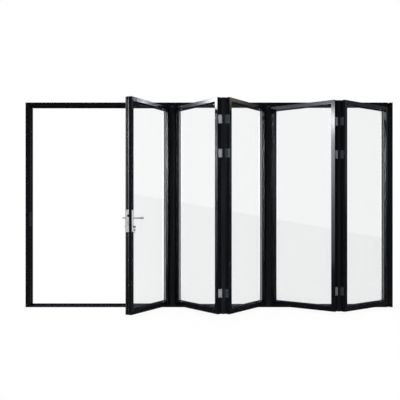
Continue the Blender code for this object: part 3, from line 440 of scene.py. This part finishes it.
def lock_strip_finish(name):
    """Dark strip along the edge of the leading leaf, with a bright plate at the lock and painted shade at
    the latch.
    """
    mat = bpy.data.materials.new(name)
    tree = Tree(mat)
    x, y, height = tree.spot()
    axes = LeafSpace(1).matrix
    depth = (x - axes.translation.x) * axes[0][1] + (y - axes.translation.y) * axes[1][1]
    plate = height.band(*lock_plate_span(), COLOUR_EDGE)
    lines = tree.noise(0.0009, 4.0, 0.7, (1, 1, 0.04))
    blotch = tree.noise(0.015, 5.0, 0.6)
    dark = tree.mix(blotch, (0.006, 0.006, 0.007), (0.012, 0.012, 0.013))
    bright = tree.mix(blotch.rise(0.4, 0.7), (0.42, 0.42, 0.39), (0.33, 0.33, 0.31))
    # Painted shade: a dark, non-metal patch on the plate where the latch's notch is
    latch = height.band(*latch_span(), COLOUR_EDGE) * depth.band(*LATCH_DEPTH, COLOUR_EDGE)
    plate = plate * (1 - latch)
    colour = tree.mix(plate, dark, bright)
    shader = tree.principled(Base_Color=colour, Metallic=plate, Normal=tree.bump(lines, 0.00003),
                             Roughness=0.16 + plate * 0.22 + (lines - 0.5) * 0.10)
    tree.close("Material", shader)
    return mat


def clear_glass(name):
    """Pane that shows what is behind it, with a faint mirror, a film of dust, a veil that greys towards +x,
    and painted reflection below a sloping line.
    """
    glazing = bpy.context.scene.door_glazing
    mat = bpy.data.materials.new(name)
    tree = Tree(mat)
    smear = tree.noise(0.22, 5.0, 0.65, stretch=(1, 1, 0.5))
    specks = tree.noise(0.003, 2.0)
    x, y, z = tree.spot()
    # Painted reflection below the sloping line; the share also grows towards +x, with dust smears and
    # specks on top
    below_reflection_line = (z + x * REFLECTION_SLOPE_X + y * REFLECTION_SLOPE_Y).rise(*REFLECTION_LINE)
    film = below_reflection_line * glazing.film + (x + 0.8) * 0.009 + 0.006
    film = film + smear.rise(0.45, 0.85) * 0.002 + specks.rise(0.72, 0.80) * 0.006
    fresnel = tree.node("Fresnel", None, {"IOR": 1.5})
    see = tree.node("BsdfTransparent", None, {"Color": tuple(glazing.tint)})
    dust = tree.principled(Base_Color=tree.mix(smear, (0.40, 0.41, 0.42), (0.32, 0.33, 0.34)),
                           Roughness=0.05 + smear * 0.05, Specular_IOR_Level=0.1)
    shader = tree.node("MixShader", None, {0: fresnel * glazing.mirror + film, 1: see, 2: dust})
    tree.close("Material", shader)
    return mat


FINISHES = {}


def finish(name):
    """A finish by name, made when it is first asked for."""
    paint = bpy.context.scene.door_paint
    if name not in FINISHES:
        made = {
            "leaf_paint": lambda: gloss_paint("leaf_gloss_black", paint.leaf_roughness),
            # Painted shade: the frame's coat is a darker copy, 0.6 of the leaves' colour
            "frame_paint": lambda: gloss_paint("frame_satin_black", paint.frame_roughness, 0.6),
            # Painted light: the sill's coat is a lighter copy, 3.6 times the leaves' colour
            "sill_paint": lambda: gloss_paint("sill_lit_black", paint.frame_roughness, 3.6),
            "post_paint": lambda: gloss_paint("post_gloss_black", paint.post_roughness),
            # Painted light: a lighter copy, 2.6 times the colour, for the post at 2_3
            "lit_post_paint": lambda: gloss_paint("post_lit_black", paint.post_roughness, 2.6),
            "rubber": lambda: rubber("sealing_rubber"),
            "hinge_2_3": lambda: hinge_finish("hinge_silver_2_3", "top_hinge_2_3", 1.0),
            # Painted shade: the hinges at 4_5 are a dimmer copy of the same silver
            "hinge_4_5": lambda: hinge_finish("hinge_silver_4_5", "top_hinge_4_5", 0.62),
            # Painted light: the last number is the strength of the bead's glow
            "bead": lambda: glowing_bead("glowing_bead", (0.90, 0.90, 0.90), (0.84, 0.84, 0.84), 0.44),
            "handle": lambda: satin_metal("handle_silver", (0.80, 0.80, 0.81), (0.66, 0.66, 0.67),
                                          0.34, (1, 1, 0.08), 0.25),
            "lever": lambda: satin_metal("lever_silver", (0.52, 0.52, 0.53), (0.40, 0.40, 0.41),
                                         0.30, (0.08, 0.08, 1), 0.45),
            "steel": lambda: satin_metal("plain_steel", (0.50, 0.50, 0.52), (0.34, 0.34, 0.36),
                                         0.34, (0.08, 0.08, 1)),
            "dark_steel": lambda: satin_metal("dark_steel", (0.16, 0.16, 0.17), (0.09, 0.09, 0.10),
                                              0.42, (1, 1, 0.08)),
            "screw": lambda: satin_metal("screw_zinc", (0.48, 0.48, 0.50), (0.30, 0.30, 0.32),
                                         0.30, (1, 1, 1)),
            # Painted light: the grey spacer glows as well, more faintly
            "spacer": lambda: glowing_bead("grey_spacer", (0.42, 0.42, 0.43), (0.36, 0.36, 0.37), 0.12),
            "black_spacer": lambda: gloss_paint("black_spacer", paint.leaf_roughness),
            "nickel": lambda: satin_metal("key_nickel", (0.16, 0.15, 0.13), (0.10, 0.09, 0.08),
                                          0.34, (0.15, 1, 1), 0.7),
            "strip": lambda: lock_strip_finish("lock_strip"),
            "glass": lambda: clear_glass("window_glass"),
        }[name]()
        FINISHES[name] = made
    return FINISHES[name]


def dress(names, finish_name):
    """Gives CAD nodes a finish in each of their material slots."""
    for name in names:
        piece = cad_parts[name]
        piece.data.materials.clear()
        piece.data.materials.append(finish(finish_name))


# Leaf axes, read from the frame
class LeafSpace:
    """Axes of one leaf: x from its left edge, y from its outside face, z from its foot."""

    def __init__(self, number):
        self.number = number
        corners = [Vector((v.co.x, v.co.y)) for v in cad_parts[f"leaf_{number}_glass"].data.vertices]
        start = min(corners, key=lambda point: point.x)
        far = max(corners, key=lambda point: (point - start).length)
        beside = [point for point in corners if (point - start).length > (far - start).length * 0.5]
        along = min(beside, key=lambda point: (point - start).length) - start
        along.normalize()
        turn = Matrix(((along.x, -along.y, 0, start.x), (along.y, along.x, 0, start.y),
                       (0, 0, 1, 0), (0, 0, 0, 1)))
        low, _ = self.span([f"leaf_{number}_{bar}" for bar in LEAF_BARS], turn)
        self.matrix = turn @ Matrix.Translation(low)
        _, high = self.span([f"leaf_{number}_{bar}" for bar in LEAF_BARS])
        self.width, self.thickness, self.height = high
        self.glass_low, self.glass_high = self.span([f"leaf_{number}_glass"])
        _, stile = self.span([f"leaf_{number}_left_stile"])
        _, bottom_rail = self.span([f"leaf_{number}_bottom_rail"])
        top_rail, _ = self.span([f"leaf_{number}_top_rail"])
        self.stile_face, self.sight_bottom, self.sight_top = stile.x, bottom_rail.z, top_rail.z

    def span(self, nodes, matrix=None):
        """Lowest and highest corner of some nodes in these axes."""
        back = (matrix or self.matrix).inverted()
        points = [back @ v.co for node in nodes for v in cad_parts[node].data.vertices]
        return (Vector([min(p[axis] for p in points) for axis in range(3)]),
                Vector([max(p[axis] for p in points) for axis in range(3)]))


def lock_plate_span():
    """World height of the foot and top of the wide plate on the leading leaf's edge."""
    low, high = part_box("outside_backplate")
    return low.z - LOCK_PLATE_MARGIN, high.z + LOCK_PLATE_MARGIN


def latch_span():
    """World height of the foot and top of the latch, a little above the lever."""
    low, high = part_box("lever_handle")
    middle = (low.z + high.z) / 2
    return tuple(middle + rise for rise in LATCH_RISE)


# Shapes
def add_box(shape, low, high, round_by=0.0, segments=2):
    """Box between two corners, with rounded edges."""
    low, high = Vector(low), Vector(high)
    made = bmesh.ops.create_cube(shape, size=1.0)["verts"]
    bmesh.ops.scale(shape, verts=made, vec=high - low)
    bmesh.ops.translate(shape, verts=made, vec=(low + high) / 2)
    if round_by:
        edges = list({edge for vertex in made for edge in vertex.link_edges})
        bmesh.ops.bevel(shape, geom=edges, offset=round_by, segments=segments, affect="EDGES",
                        profile=0.5, material=-1, clamp_overlap=True)


def add_ring(shape, low, high, width, front, back, round_by=0.0, round_front=True):
    """Mitred frame round a rectangle in x and z, low to high, width wide outwards, front to back in y."""
    outer_low = (low[0] - width, low[1] - width)
    outer_high = (high[0] + width, high[1] + width)
    plane = bmesh.new()
    corners = [plane.verts.new((x, front, z)) for x, z in (
        (outer_low[0], outer_low[1]), (outer_high[0], outer_low[1]),
        (outer_high[0], outer_high[1]), (outer_low[0], outer_high[1]))]
    face = plane.faces.new(corners)
    bmesh.ops.inset_individual(plane, faces=[face], thickness=width, use_even_offset=True)
    bmesh.ops.delete(plane, geom=[face], context="FACES_ONLY")
    grown = bmesh.ops.extrude_face_region(plane, geom=plane.faces[:])["geom"]
    moved = [item for item in grown if isinstance(item, bmesh.types.BMVert)]
    bmesh.ops.translate(plane, verts=moved, vec=(0, back - front, 0))
    bmesh.ops.recalc_face_normals(plane, faces=plane.faces)
    if round_by:
        level = front if round_front else back
        edges = [edge for edge in plane.edges
                 if all(abs(vertex.co.y - level) < 1e-6 for vertex in edge.verts)
                 and not is_mitre(edge)]
        bmesh.ops.bevel(plane, geom=edges, offset=round_by, segments=2, affect="EDGES",
                        profile=0.5, material=-1, clamp_overlap=True)
    join(shape, plane)


def is_mitre(edge):
    """True for an edge that runs across both x and z."""
    first, second = (vertex.co for vertex in edge.verts)
    return abs(first.x - second.x) > 1e-6 and abs(first.z - second.z) > 1e-6


def join(shape, other):
    """Adds another shape's mesh to this one and frees it."""
    mesh = bpy.data.meshes.new("joined")
    other.to_mesh(mesh)
    other.free()
    shape.from_mesh(mesh)
    bpy.data.meshes.remove(mesh)


def add_turned(shape, profile, centre, axis):
    """Closed turned shape: profile of (radius, height) pairs, spun about an axis through a centre."""
    turned = bmesh.new()
    line = [turned.verts.new((radius, 0, height)) for radius, height in profile]
    edges = [turned.edges.new(pair) for pair in zip(line, line[1:])]
    bmesh.ops.spin(turned, geom=line + edges, cent=(0, 0, 0), axis=(0, 0, 1), angle=2 * pi,
                   steps=COLLAR_STEPS, use_merge=True)
    bmesh.ops.remove_doubles(turned, verts=turned.verts, dist=1e-6)
    bmesh.ops.recalc_face_normals(turned, faces=turned.faces)
    turn = Vector((0, 0, 1)).rotation_difference(Vector(axis)).to_matrix().to_4x4()
    bmesh.ops.transform(turned, matrix=Matrix.Translation(centre) @ turn, verts=turned.verts)
    join(shape, turned)


def add_screw(shape, centre, axis, radius, proud):
    """Countersunk screw head with a six-sided socket."""
    head = bmesh.new()
    bmesh.ops.create_cone(head, cap_ends=True, segments=18, radius1=radius, radius2=radius * 0.86,
                          depth=proud)
    bmesh.ops.translate(head, verts=head.verts, vec=(0, 0, proud / 2))
    top = max(head.faces, key=lambda face: face.calc_center_median().z)
    bmesh.ops.inset_individual(head, faces=[top], thickness=radius * 0.42, use_even_offset=True)
    sunk = bmesh.ops.extrude_discrete_faces(head, faces=[top])["faces"]
    bmesh.ops.translate(head, verts=sunk[0].verts, vec=(0, 0, -proud * 0.8))
    bmesh.ops.recalc_face_normals(head, faces=head.faces)
    turn = Vector((0, 0, 1)).rotation_difference(Vector(axis)).to_matrix().to_4x4()
    bmesh.ops.transform(head, matrix=Matrix.Translation(centre) @ turn, verts=head.verts)
    join(shape, head)


def make_piece(name, shape, finish_name, matrix=None, stands_for=(), smooth=False):
    """Turns a shape into a piece of the door, with its place in its mesh."""
    if matrix is not None:
        bmesh.ops.transform(shape, matrix=matrix, verts=shape.verts)
    bmesh.ops.recalc_face_normals(shape, faces=shape.faces)
    mesh = bpy.data.meshes.new(name)
    shape.to_mesh(mesh)
    shape.free()
    mesh.materials.append(finish(finish_name))
    if smooth:
        mesh.shade_smooth()
        mesh.set_sharp_from_angle(angle=radians(35))
    piece = bpy.data.objects.new(name, mesh)
    bpy.context.scene.collection.objects.link(piece)
    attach(piece, BODY)
    if stands_for:
        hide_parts(*stands_for)


# Glazing
def make_glazing(leaf):
    """Two panes, the bar between them, the outside rubber and the inside beads of one leaf."""
    glazing = bpy.context.scene.door_glazing
    name = f"leaf_{leaf.number}_"
    low, high = leaf.glass_low, leaf.glass_high
    sight_low = (leaf.stile_face, leaf.sight_bottom)
    sight_high = (leaf.width - leaf.stile_face, leaf.sight_top)

    panes = bmesh.new()
    for front in (low.y, high.y - glazing.pane):
        add_box(panes, (low.x, front, low.z), (high.x, front + glazing.pane, high.z), glazing.arris, 1)
    make_piece(name + "panes", panes, "glass", leaf.matrix, (name + "glass",))

    spacer = bmesh.new()
    inset = glazing.spacer_inset + glazing.spacer_width
    add_ring(spacer, (low.x + inset, low.z + inset), (high.x - inset, high.z - inset),
             glazing.spacer_width, low.y + glazing.pane + PANE_GAP, high.y - glazing.pane - PANE_GAP)
    spacer_finish = "black_spacer" if leaf.number in BLACK_SPACERS else "spacer"
    make_piece(name + "spacer_bar", spacer, spacer_finish, leaf.matrix)

    width = glazing.gasket_width
    inner_low = (sight_low[0] + width, sight_low[1] + width)
    inner_high = (sight_high[0] - width, sight_high[1] - width)
    gaskets = bmesh.new()
    back = low.y - PANE_GAP
    add_ring(gaskets, inner_low, inner_high, width - PANE_GAP, low.y - glazing.gasket_depth, back,
             glazing.gasket_depth * 0.45)
    for foot, top, lip in ((inner_high[1] - glazing.top_lip, inner_high[1] - PANE_GAP, glazing.top_lip),
                           (inner_low[1] + PANE_GAP, inner_low[1] + glazing.foot_lip, glazing.foot_lip)):
        add_box(gaskets, (inner_low[0] + PANE_GAP, low.y - glazing.gasket_depth * 0.7, foot),
                (inner_high[0] - PANE_GAP, back, top), lip * 0.25, 1)
    make_piece(name + "gaskets", gaskets, "rubber", leaf.matrix, smooth=True)

    make_lining(leaf, sight_low, sight_high, high.y + PANE_GAP)

    beads = bmesh.new()
    bead_low = (sight_low[0] - PANE_GAP, sight_low[1] - PANE_GAP)
    bead_high = (sight_high[0] + PANE_GAP, sight_high[1] + PANE_GAP)
    add_ring(beads, bead_low, bead_high, glazing.bead_width, leaf.thickness + PANE_GAP,
             leaf.thickness + glazing.bead_height, glazing.bead_height * 0.7, round_front=False)
    make_piece(name + "glazing_beads", beads, "leaf_paint", leaf.matrix, smooth=True)


def make_lining(leaf, sight_low, sight_high, front):
    """Beads behind the glass: light ones down the stiles, which glow with painted light, and black ones
    along the rails as painted shade.
    """
    glazing = bpy.context.scene.door_glazing
    name = f"leaf_{leaf.number}_"
    back = leaf.thickness + glazing.bead_height * 0.5
    side = glazing.lining
    upright = bmesh.new()
    for start in (sight_low[0] + PANE_GAP, sight_high[0] - side):
        add_box(upright, (start, front, sight_low[1] + PANE_GAP),
                (start + side - PANE_GAP, back, sight_high[1] - PANE_GAP))
    make_piece(name + "side_beads", upright, "bead", leaf.matrix)
    level = bmesh.new()
    for foot in (sight_low[1] + PANE_GAP, sight_high[1] - side):
        add_box(level, (sight_low[0] + side + PANE_GAP, front, foot),
                (sight_high[0] - side - PANE_GAP, back, foot + side - PANE_GAP))
    make_piece(name + "rail_beads", level, "leaf_paint", leaf.matrix)


class DOOR_OT_glazing(Operator):
    """Glaze the five leaves."""
    bl_idname = "door.glazing"
    bl_label = "Glazing"

    def execute(self, context):
        for number in LEAVES:
            make_glazing(LeafSpace(number))
        return {"FINISHED"}


# Weather seals
def make_leaf_seals():
    """Rubber down the leading leaf's edge, on both sides of the lock strip."""
    hardware = bpy.context.scene.door_hardware
    leaf = LeafSpace(1)
    strip_low, _ = leaf.span(["lock_faceplate"])
    plate_low, plate_high = (z - leaf.matrix.translation.z for z in lock_plate_span())
    foot, top = SEAL_END, leaf.height - SEAL_END
    split = 2 * SEAL_GAP
    beside = 3 * SEAL_GAP
    above = 5 * SEAL_GAP
    behind = strip_low.y + STRIP_WIDTH + beside
    seals = bmesh.new()
    for start, end, low_z, high_z in (
            (*LEADING_SEAL, foot, top),
            (LEADING_SEAL[1] + split, strip_low.y - beside, foot, top),
            (behind, LEADING_SEALS_END, foot, plate_low - above),
            (behind, LEADING_SEALS_END, plate_high + above, top)):
        add_box(seals, (-hardware.seal_height, start, low_z), (-SEAL_GAP, end, high_z),
                hardware.seal_height * 0.45)
    make_piece("leaf_1_edge_seals", seals, "rubber", leaf.matrix, smooth=True)


def make_fold_seals():
    """Rubber on the leaf edges that meet at the outward folds, clear of the hinges."""
    hardware = bpy.context.scene.door_hardware
    thick = hardware.seal_height * 0.6
    for fold, left_number, right_number in FOLDS:
        seals = bmesh.new()
        for number in (left_number, right_number):
            leaf = LeafSpace(number)
            at_left_edge = number == right_number
            near = -thick if at_left_edge else leaf.width + SEAL_GAP
            far = -SEAL_GAP if at_left_edge else leaf.width + thick
            group = bmesh.new()
            for low_z, high_z in hinge_free_spans(fold, leaf):
                for start, end in FOLD_SEALS:
                    add_box(group, (near, start, low_z), (far, end, high_z), thick * 0.45)
            bmesh.ops.transform(group, matrix=leaf.matrix, verts=group.verts)
            join(seals, group)
        make_piece(f"fold_seals_{fold}", seals, "rubber", smooth=True)


def make_post_seals():
    """Rubber apron on the back of each post at an inward fold, over the slits beside its barrels."""
    hardware = bpy.context.scene.door_hardware
    for number, post in BACK_FOLDS:
        leaf = LeafSpace(number)
        low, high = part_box(post)
        middle = (low.x + high.x) / 2
        foot = leaf.matrix.translation.z
        front = high.y + POST_SEAL_GAP
        shape = bmesh.new()
        add_box(shape, (middle - hardware.apron, front, foot + SEAL_END),
                (middle + hardware.apron, front + hardware.seal_height, foot + leaf.height - SEAL_END),
                hardware.seal_height * 0.45)
        make_piece(post + "_apron", shape, "rubber", smooth=True)


def hinge_free_spans(fold, leaf):
    """Heights in a leaf's axes between the hinges of a fold."""
    foot = leaf.matrix.translation.z
    boxes = [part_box(f"{place}_hinge_{fold}") for place in HINGE_LEVELS]
    spans = sorted((low.z - foot, high.z - foot) for low, high in boxes)
    starts = [SEAL_END] + [high + HINGE_CLEARANCE for _, high in spans]
    ends = [low - HINGE_CLEARANCE for low, _ in spans] + [leaf.height - SEAL_END]
    return list(zip(starts, ends))


def ledge(node, top):
    """Lowest and highest y of the surface at a node's very top or bottom."""
    low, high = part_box(node)
    level = high.z if top else low.z
    ends = [v.co.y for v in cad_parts[node].data.vertices if abs(v.co.z - level) < LEDGE_DEPTH]
    return min(ends), max(ends)


def make_frame_seals():
    """Rubber on the frame's stops: left jamb, underside of the head and the sill's rib."""
    hardware = bpy.context.scene.door_hardware
    _, jamb_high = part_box("left_jamb")
    head_low, head_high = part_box("head_inner_profile")
    _, sill_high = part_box("sill")
    height = hardware.frame_seal
    inset = 3 * SEAL_GAP
    seals = bmesh.new()
    face = head_high.y - JAMB_SEAL_DEPTH
    add_box(seals, (jamb_high.x + SEAL_GAP, face, sill_high.z + SEAL_GAP),
            (jamb_high.x + 1.6 * height, face + JAMB_SEAL_WIDTH, head_low.z - height), height * 0.4)
    for node, top, level, start, end in (("head_inner_profile", False, head_low.z, -height, -SEAL_GAP),
                                         ("sill", True, sill_high.z, SEAL_GAP, height)):
        front, back = ledge(node, top)
        far = min(front + inset + FRAME_SEAL_WIDTH, back - inset)
        add_box(seals, (jamb_high.x + height, front + inset, level + start),
                (FRAME_SEAL_STOP, far, level + end), height * 0.4)
    make_piece("frame_seals", seals, "rubber", smooth=True)


class DOOR_OT_seals(Operator):
    """Fit the weather seals."""
    bl_idname = "door.seals"
    bl_label = "Weather seals"

    def execute(self, context):
        make_leaf_seals()
        make_fold_seals()
        make_post_seals()
        make_frame_seals()
        return {"FINISHED"}


# Fixings
def make_hinge_screws():
    """Four screws in each plate of the six double hinges: zinc on the left, dark on the right."""
    for fold, left_number, right_number in FOLDS:
        for side, number, finish_name in (("left", left_number, "screw"),
                                          ("right", right_number, "dark_steel")):
            screws = bmesh.new()
            for place in HINGE_LEVELS:
                add_plate_screws(screws, LeafSpace(number), f"{place}_hinge_{fold}", side == "right")
            make_piece(f"hinge_screws_{fold}_{side}", screws, finish_name, smooth=True)


def add_plate_screws(screws, leaf, node, at_left_edge):
    """Screws on the plate that a hinge lays on one leaf's edge."""
    hardware = bpy.context.scene.door_hardware
    low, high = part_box(node)
    middle = (low.z + high.z) / 2 - leaf.matrix.translation.z
    edge = -HINGE_PLATE if at_left_edge else leaf.width + HINGE_PLATE
    way = (-1, 0, 0) if at_left_edge else (1, 0, 0)
    group = bmesh.new()
    for y in HINGE_SCREW_ROWS:
        for rise in (-HINGE_SCREW_RISE, HINGE_SCREW_RISE):
            add_screw(group, (edge, y, middle + rise), way, hardware.screw_radius, hardware.screw_proud)
    bmesh.ops.transform(group, matrix=leaf.matrix, verts=group.verts)
    join(screws, group)


def make_lock_screws():
    """Screws of the backplates, the lock strip and the strike plate."""
    hardware = bpy.context.scene.door_hardware
    leaf = LeafSpace(1)
    inset = 0.013
    screws = bmesh.new()
    for node, way in (("outside_backplate", -1), ("inside_backplate", 1)):
        low, high = leaf.span([node])
        face = low.y if way < 0 else high.y
        for z in (low.z + inset, high.z - inset):
            add_screw(screws, ((low.x + high.x) / 2, face, z), (0, way, 0), hardware.screw_radius,
                      hardware.screw_proud)
    make_piece("backplate_screws", screws, "screw", leaf.matrix, smooth=True)

    low, high = leaf.span(["lock_faceplate"])
    plate_low, plate_high = (z - leaf.matrix.translation.z for z in lock_plate_span())
    plate_inset = 0.009
    end_inset = 0.02
    plate_clearance = 0.03
    count = 4
    places = [(PLATE_SCREW_ROW, z) for z in (plate_low + plate_inset, plate_high - plate_inset)]
    for start, end in ((low.z + end_inset, plate_low - plate_clearance),
                       (plate_high + plate_clearance, high.z - end_inset)):
        places += [(STRIP_SCREW_ROW, start + (end - start) * index / (count - 1)) for index in range(count)]
    screws = bmesh.new()
    for y, z in places:
        add_screw(screws, (0, y, z), (-1, 0, 0), hardware.screw_radius, hardware.screw_proud)
    make_piece("lock_strip_screws", screws, "screw", leaf.matrix, smooth=True)

    low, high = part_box("strike_plate")
    strike_inset = 0.012
    beside_slot = (low.y + high.y) / 2 + 0.008
    screws = bmesh.new()
    for z in (low.z + strike_inset, high.z - strike_inset):
        add_screw(screws, (high.x, beside_slot, z), (1, 0, 0), hardware.screw_radius, hardware.screw_proud)
    make_piece("strike_plate_screws", screws, "screw", smooth=True)


class DOOR_OT_fixings(Operator):
    """Add the screws of the hinges and the lock."""
    bl_idname = "door.fixings"
    bl_label = "Fixings"

    def execute(self, context):
        make_hinge_screws()
        make_lock_screws()
        return {"FINISHED"}


# Lock trim
def make_collars():
    """Rings on the backplates round the lever's neck and the cylinder."""
    hardware = bpy.context.scene.door_hardware
    leaf = LeafSpace(1)
    lever_z, cylinder_z = (sum(corner.z for corner in leaf.span([node])) / 2
                           for node in ("lever_handle", "lock_cylinder"))
    collars = bmesh.new()
    for node, way in (("outside_backplate", -1), ("inside_backplate", 1)):
        low, high = leaf.span([node])
        face = low.y if way < 0 else high.y
        for z, inner in ((lever_z, NECK_RADIUS), (cylinder_z, CYLINDER_RADIUS)):
            outer = inner + hardware.collar_width
            rim = hardware.collar_height
            profile = [(inner, 0.0), (outer, 0.0), (outer, rim * 0.5), (outer - rim * 0.35, rim),
                       (inner + rim * 0.2, rim), (inner, rim * 0.8), (inner, 0.0)]
            add_turned(collars, profile, ((low.x + high.x) / 2, face, z), (0, way, 0))
    make_piece("backplate_collars", collars, "handle", leaf.matrix, smooth=True)


class DOOR_OT_lock_trim(Operator):
    """Add the rings round the lever and the cylinder."""
    bl_idname = "door.lock_trim"
    bl_label = "Lock trim"

    def execute(self, context):
        make_collars()
        return {"FINISHED"}


# Finishes of the built door
class DOOR_OT_frame_finish(Operator):
    """Coat the outer frame."""
    bl_idname = "door.frame_finish"
    bl_label = "Frame finish"

    def execute(self, context):
        dress(FRAME_NODES, "frame_paint")
        dress(("sill",), "sill_paint")
        dress(("strike_plate",), "dark_steel")
        return {"FINISHED"}


class DOOR_OT_leaf_finish(Operator):
    """Coat the leaves and the posts between them."""
    bl_idname = "door.leaf_finish"
    bl_label = "Leaf finish"

    def execute(self, context):
        for number in LEAVES:
            dress([f"leaf_{number}_{bar}" for bar in LEAF_BARS], "leaf_paint")
        dress(DULL_NODES, "post_paint")
        dress((LIT_POST,), "lit_post_paint")
        return {"FINISHED"}


class DOOR_OT_hardware_finish(Operator):
    """Finish the hinges, carriages, lock, handle and keys."""
    bl_idname = "door.hardware_finish"
    bl_label = "Hardware finish"

    def execute(self, context):
        for fold, _, _ in FOLDS:
            dress([f"{place}_hinge_{fold}" for place in HINGE_LEVELS], "hinge_" + fold)
        dress(CARRIAGES, "steel")
        dress(("outside_backplate", "inside_backplate"), "handle")
        dress(("lever_handle",), "lever")
        dress(("lock_cylinder", "key_ring"), "steel")
        dress(("key", "spare_key"), "nickel")
        dress(("lock_faceplate",), "strip")
        return {"FINISHED"}


# Stage
def make_floor():
    """Pale floor that keeps the door's shadow."""
    stage = bpy.context.scene.door_stage
    low, high = CAD_BOX
    margin = stage.floor_margin
    shape = bmesh.new()
    bmesh.ops.create_grid(shape, x_segments=1, y_segments=1, size=0.5)
    bmesh.ops.scale(shape, verts=shape.verts,
                    vec=(high.x - low.x + 2 * margin, high.y - low.y + 2 * margin, 1))
    middle = (low + high) / 2
    bmesh.ops.translate(shape, verts=shape.verts, vec=(middle.x, middle.y, low.z - 0.0005))
    mesh = bpy.data.meshes.new("studio_floor")
    shape.to_mesh(mesh)
    shape.free()
    mat = bpy.data.materials.new("studio_white")
    tree = Tree(mat)
    mirrored = tree.node("LightPath", output="Is Glossy Ray")
    grain = tree.noise(0.004, 3.0)
    grey = tree.mix(grain, (0.065, 0.065, 0.065), (0.080, 0.080, 0.080))
    matt = tree.node("BsdfDiffuse", None, {"Color": grey})
    glow = tree.node("Emission", None, {"Color": (1, 1, 1), "Strength": (1 - mirrored) * stage.floor_glow})
    tree.close("Material", tree.node("AddShader", None, {0: matt, 1: glow}))
    mesh.materials.append(mat)
    floor = bpy.data.objects.new("studio_floor", mesh)
    bpy.context.scene.collection.objects.link(floor)


def window(turn, climb, place):
    """A bright patch of the world, from the angles and the strength of its place."""
    across, upward, strength = place
    return turn.band(*across) * climb.band(*upward) * strength


def make_world():
    """White backdrop for the camera, and soft lights that the coat mirrors, the widest on the left."""
    stage = bpy.context.scene.door_stage
    world = bpy.data.worlds.new("studio")
    bpy.context.scene.world = world
    tree = Tree(world)
    x, y, z = tree.axes(tree.node("TexCoord", output="Generated"))
    turn = x.math("ARCTAN2", y) * (180 / pi)
    climb = z.math("ARCSINE") * (180 / pi)
    glossy = tree.node("LightPath", output="Is Glossy Ray")

    left = turn.level(LEFT_ROUND) * climb.level(LEFT_UP) * stage.lamp
    tall_window = window(turn, climb, TALL_WINDOW)
    corner_window = window(turn, climb, CORNER_WINDOW)
    far_window = window(turn, climb, FAR_WINDOW)
    shelf = window(turn, climb, WARM_SHELF)
    right = turn.band(*RIGHT_ROUND) * (0.03 + climb.rise(-1.0, 3.0) * 0.19)
    front = 0.045 + climb.band(*FRONT_UP) * 0.10
    studio = left + tall_window + corner_window + far_window + shelf * SHELF_STRENGTH + right + front

    cool = tree.mix((left + tall_window).rise(0.5, 6.0), (0.92, 0.98, 1.12), (0.97, 0.99, 1.05))
    sky = tree.mix(corner_window.rise(0.0, 8.0), cool, (0.95, 0.97, 1.02))
    colour = tree.mix(glossy, (1, 1, 1), tree.mix(shelf, sky, (1.0, 0.70, 0.46)))

    camera = tree.node("LightPath", output="Is Camera Ray")
    through = tree.node("LightPath", output="Is Transmission Ray")
    diffuse = tree.node("LightPath", output="Is Diffuse Ray")
    strength = camera.most(through) + glossy * studio + diffuse * stage.fill
    surface = tree.node("Background", None, {"Color": colour, "Strength": strength})
    tree.close("World", surface)


def make_camera():
    stage = bpy.context.scene.door_stage
    camera = bpy.data.cameras.new("photo_camera")
    camera.sensor_width = 36.0
    camera.lens = stage.lens
    camera.shift_x, camera.shift_y = stage.shift
    camera.clip_end = 100.0
    holder = bpy.data.objects.new("photo_camera", camera)
    holder.location = stage.camera
    holder.rotation_euler = (pi / 2, 0, 0)
    bpy.context.scene.collection.objects.link(holder)
    bpy.context.scene.camera = holder


class DOOR_OT_stage(Operator):
    """Set up the floor, the light and the camera."""
    bl_idname = "door.stage"
    bl_label = "Studio"

    def execute(self, context):
        make_floor()
        make_world()
        make_camera()
        context.scene.view_settings.view_transform = "Standard"
        # A sight line through four leaves crosses 16 glass surfaces
        context.scene.cycles.transparent_max_bounces = 24
        return {"FINISHED"}


OPERATORS = (DOOR_OT_stage, DOOR_OT_frame_finish, DOOR_OT_leaf_finish, DOOR_OT_hardware_finish,
             DOOR_OT_glazing, DOOR_OT_seals, DOOR_OT_fixings, DOOR_OT_lock_trim)


class DOOR_PT_panel(Panel):
    """Steps of the door in the 3D view's sidebar."""
    bl_idname = "DOOR_PT_panel"
    bl_label = "Patio Door"
    bl_space_type = "VIEW_3D"
    bl_region_type = "UI"
    bl_category = "Patio Door"

    def draw(self, context):
        for operator in OPERATORS:
            self.layout.operator(operator.bl_idname)


SETTINGS = (("door_paint", PaintSettings), ("door_glazing", GlazingSettings),
            ("door_hardware", HardwareSettings), ("door_stage", StageSettings))


def register():
    for name, group in SETTINGS:
        bpy.utils.register_class(group)
        setattr(bpy.types.Scene, name, PointerProperty(type=group))
    for cls in (*OPERATORS, DOOR_PT_panel):
        bpy.utils.register_class(cls)


def unregister():
    for cls in reversed((*OPERATORS, DOOR_PT_panel)):
        bpy.utils.unregister_class(cls)
    for name, group in reversed(SETTINGS):
        delattr(bpy.types.Scene, name)
        bpy.utils.unregister_class(group)


def main():
    register()
    for operator in OPERATORS:
        area, name = operator.bl_idname.split(".")
        getattr(getattr(bpy.ops, area), name)()


if __name__ == "__main__":
    main()
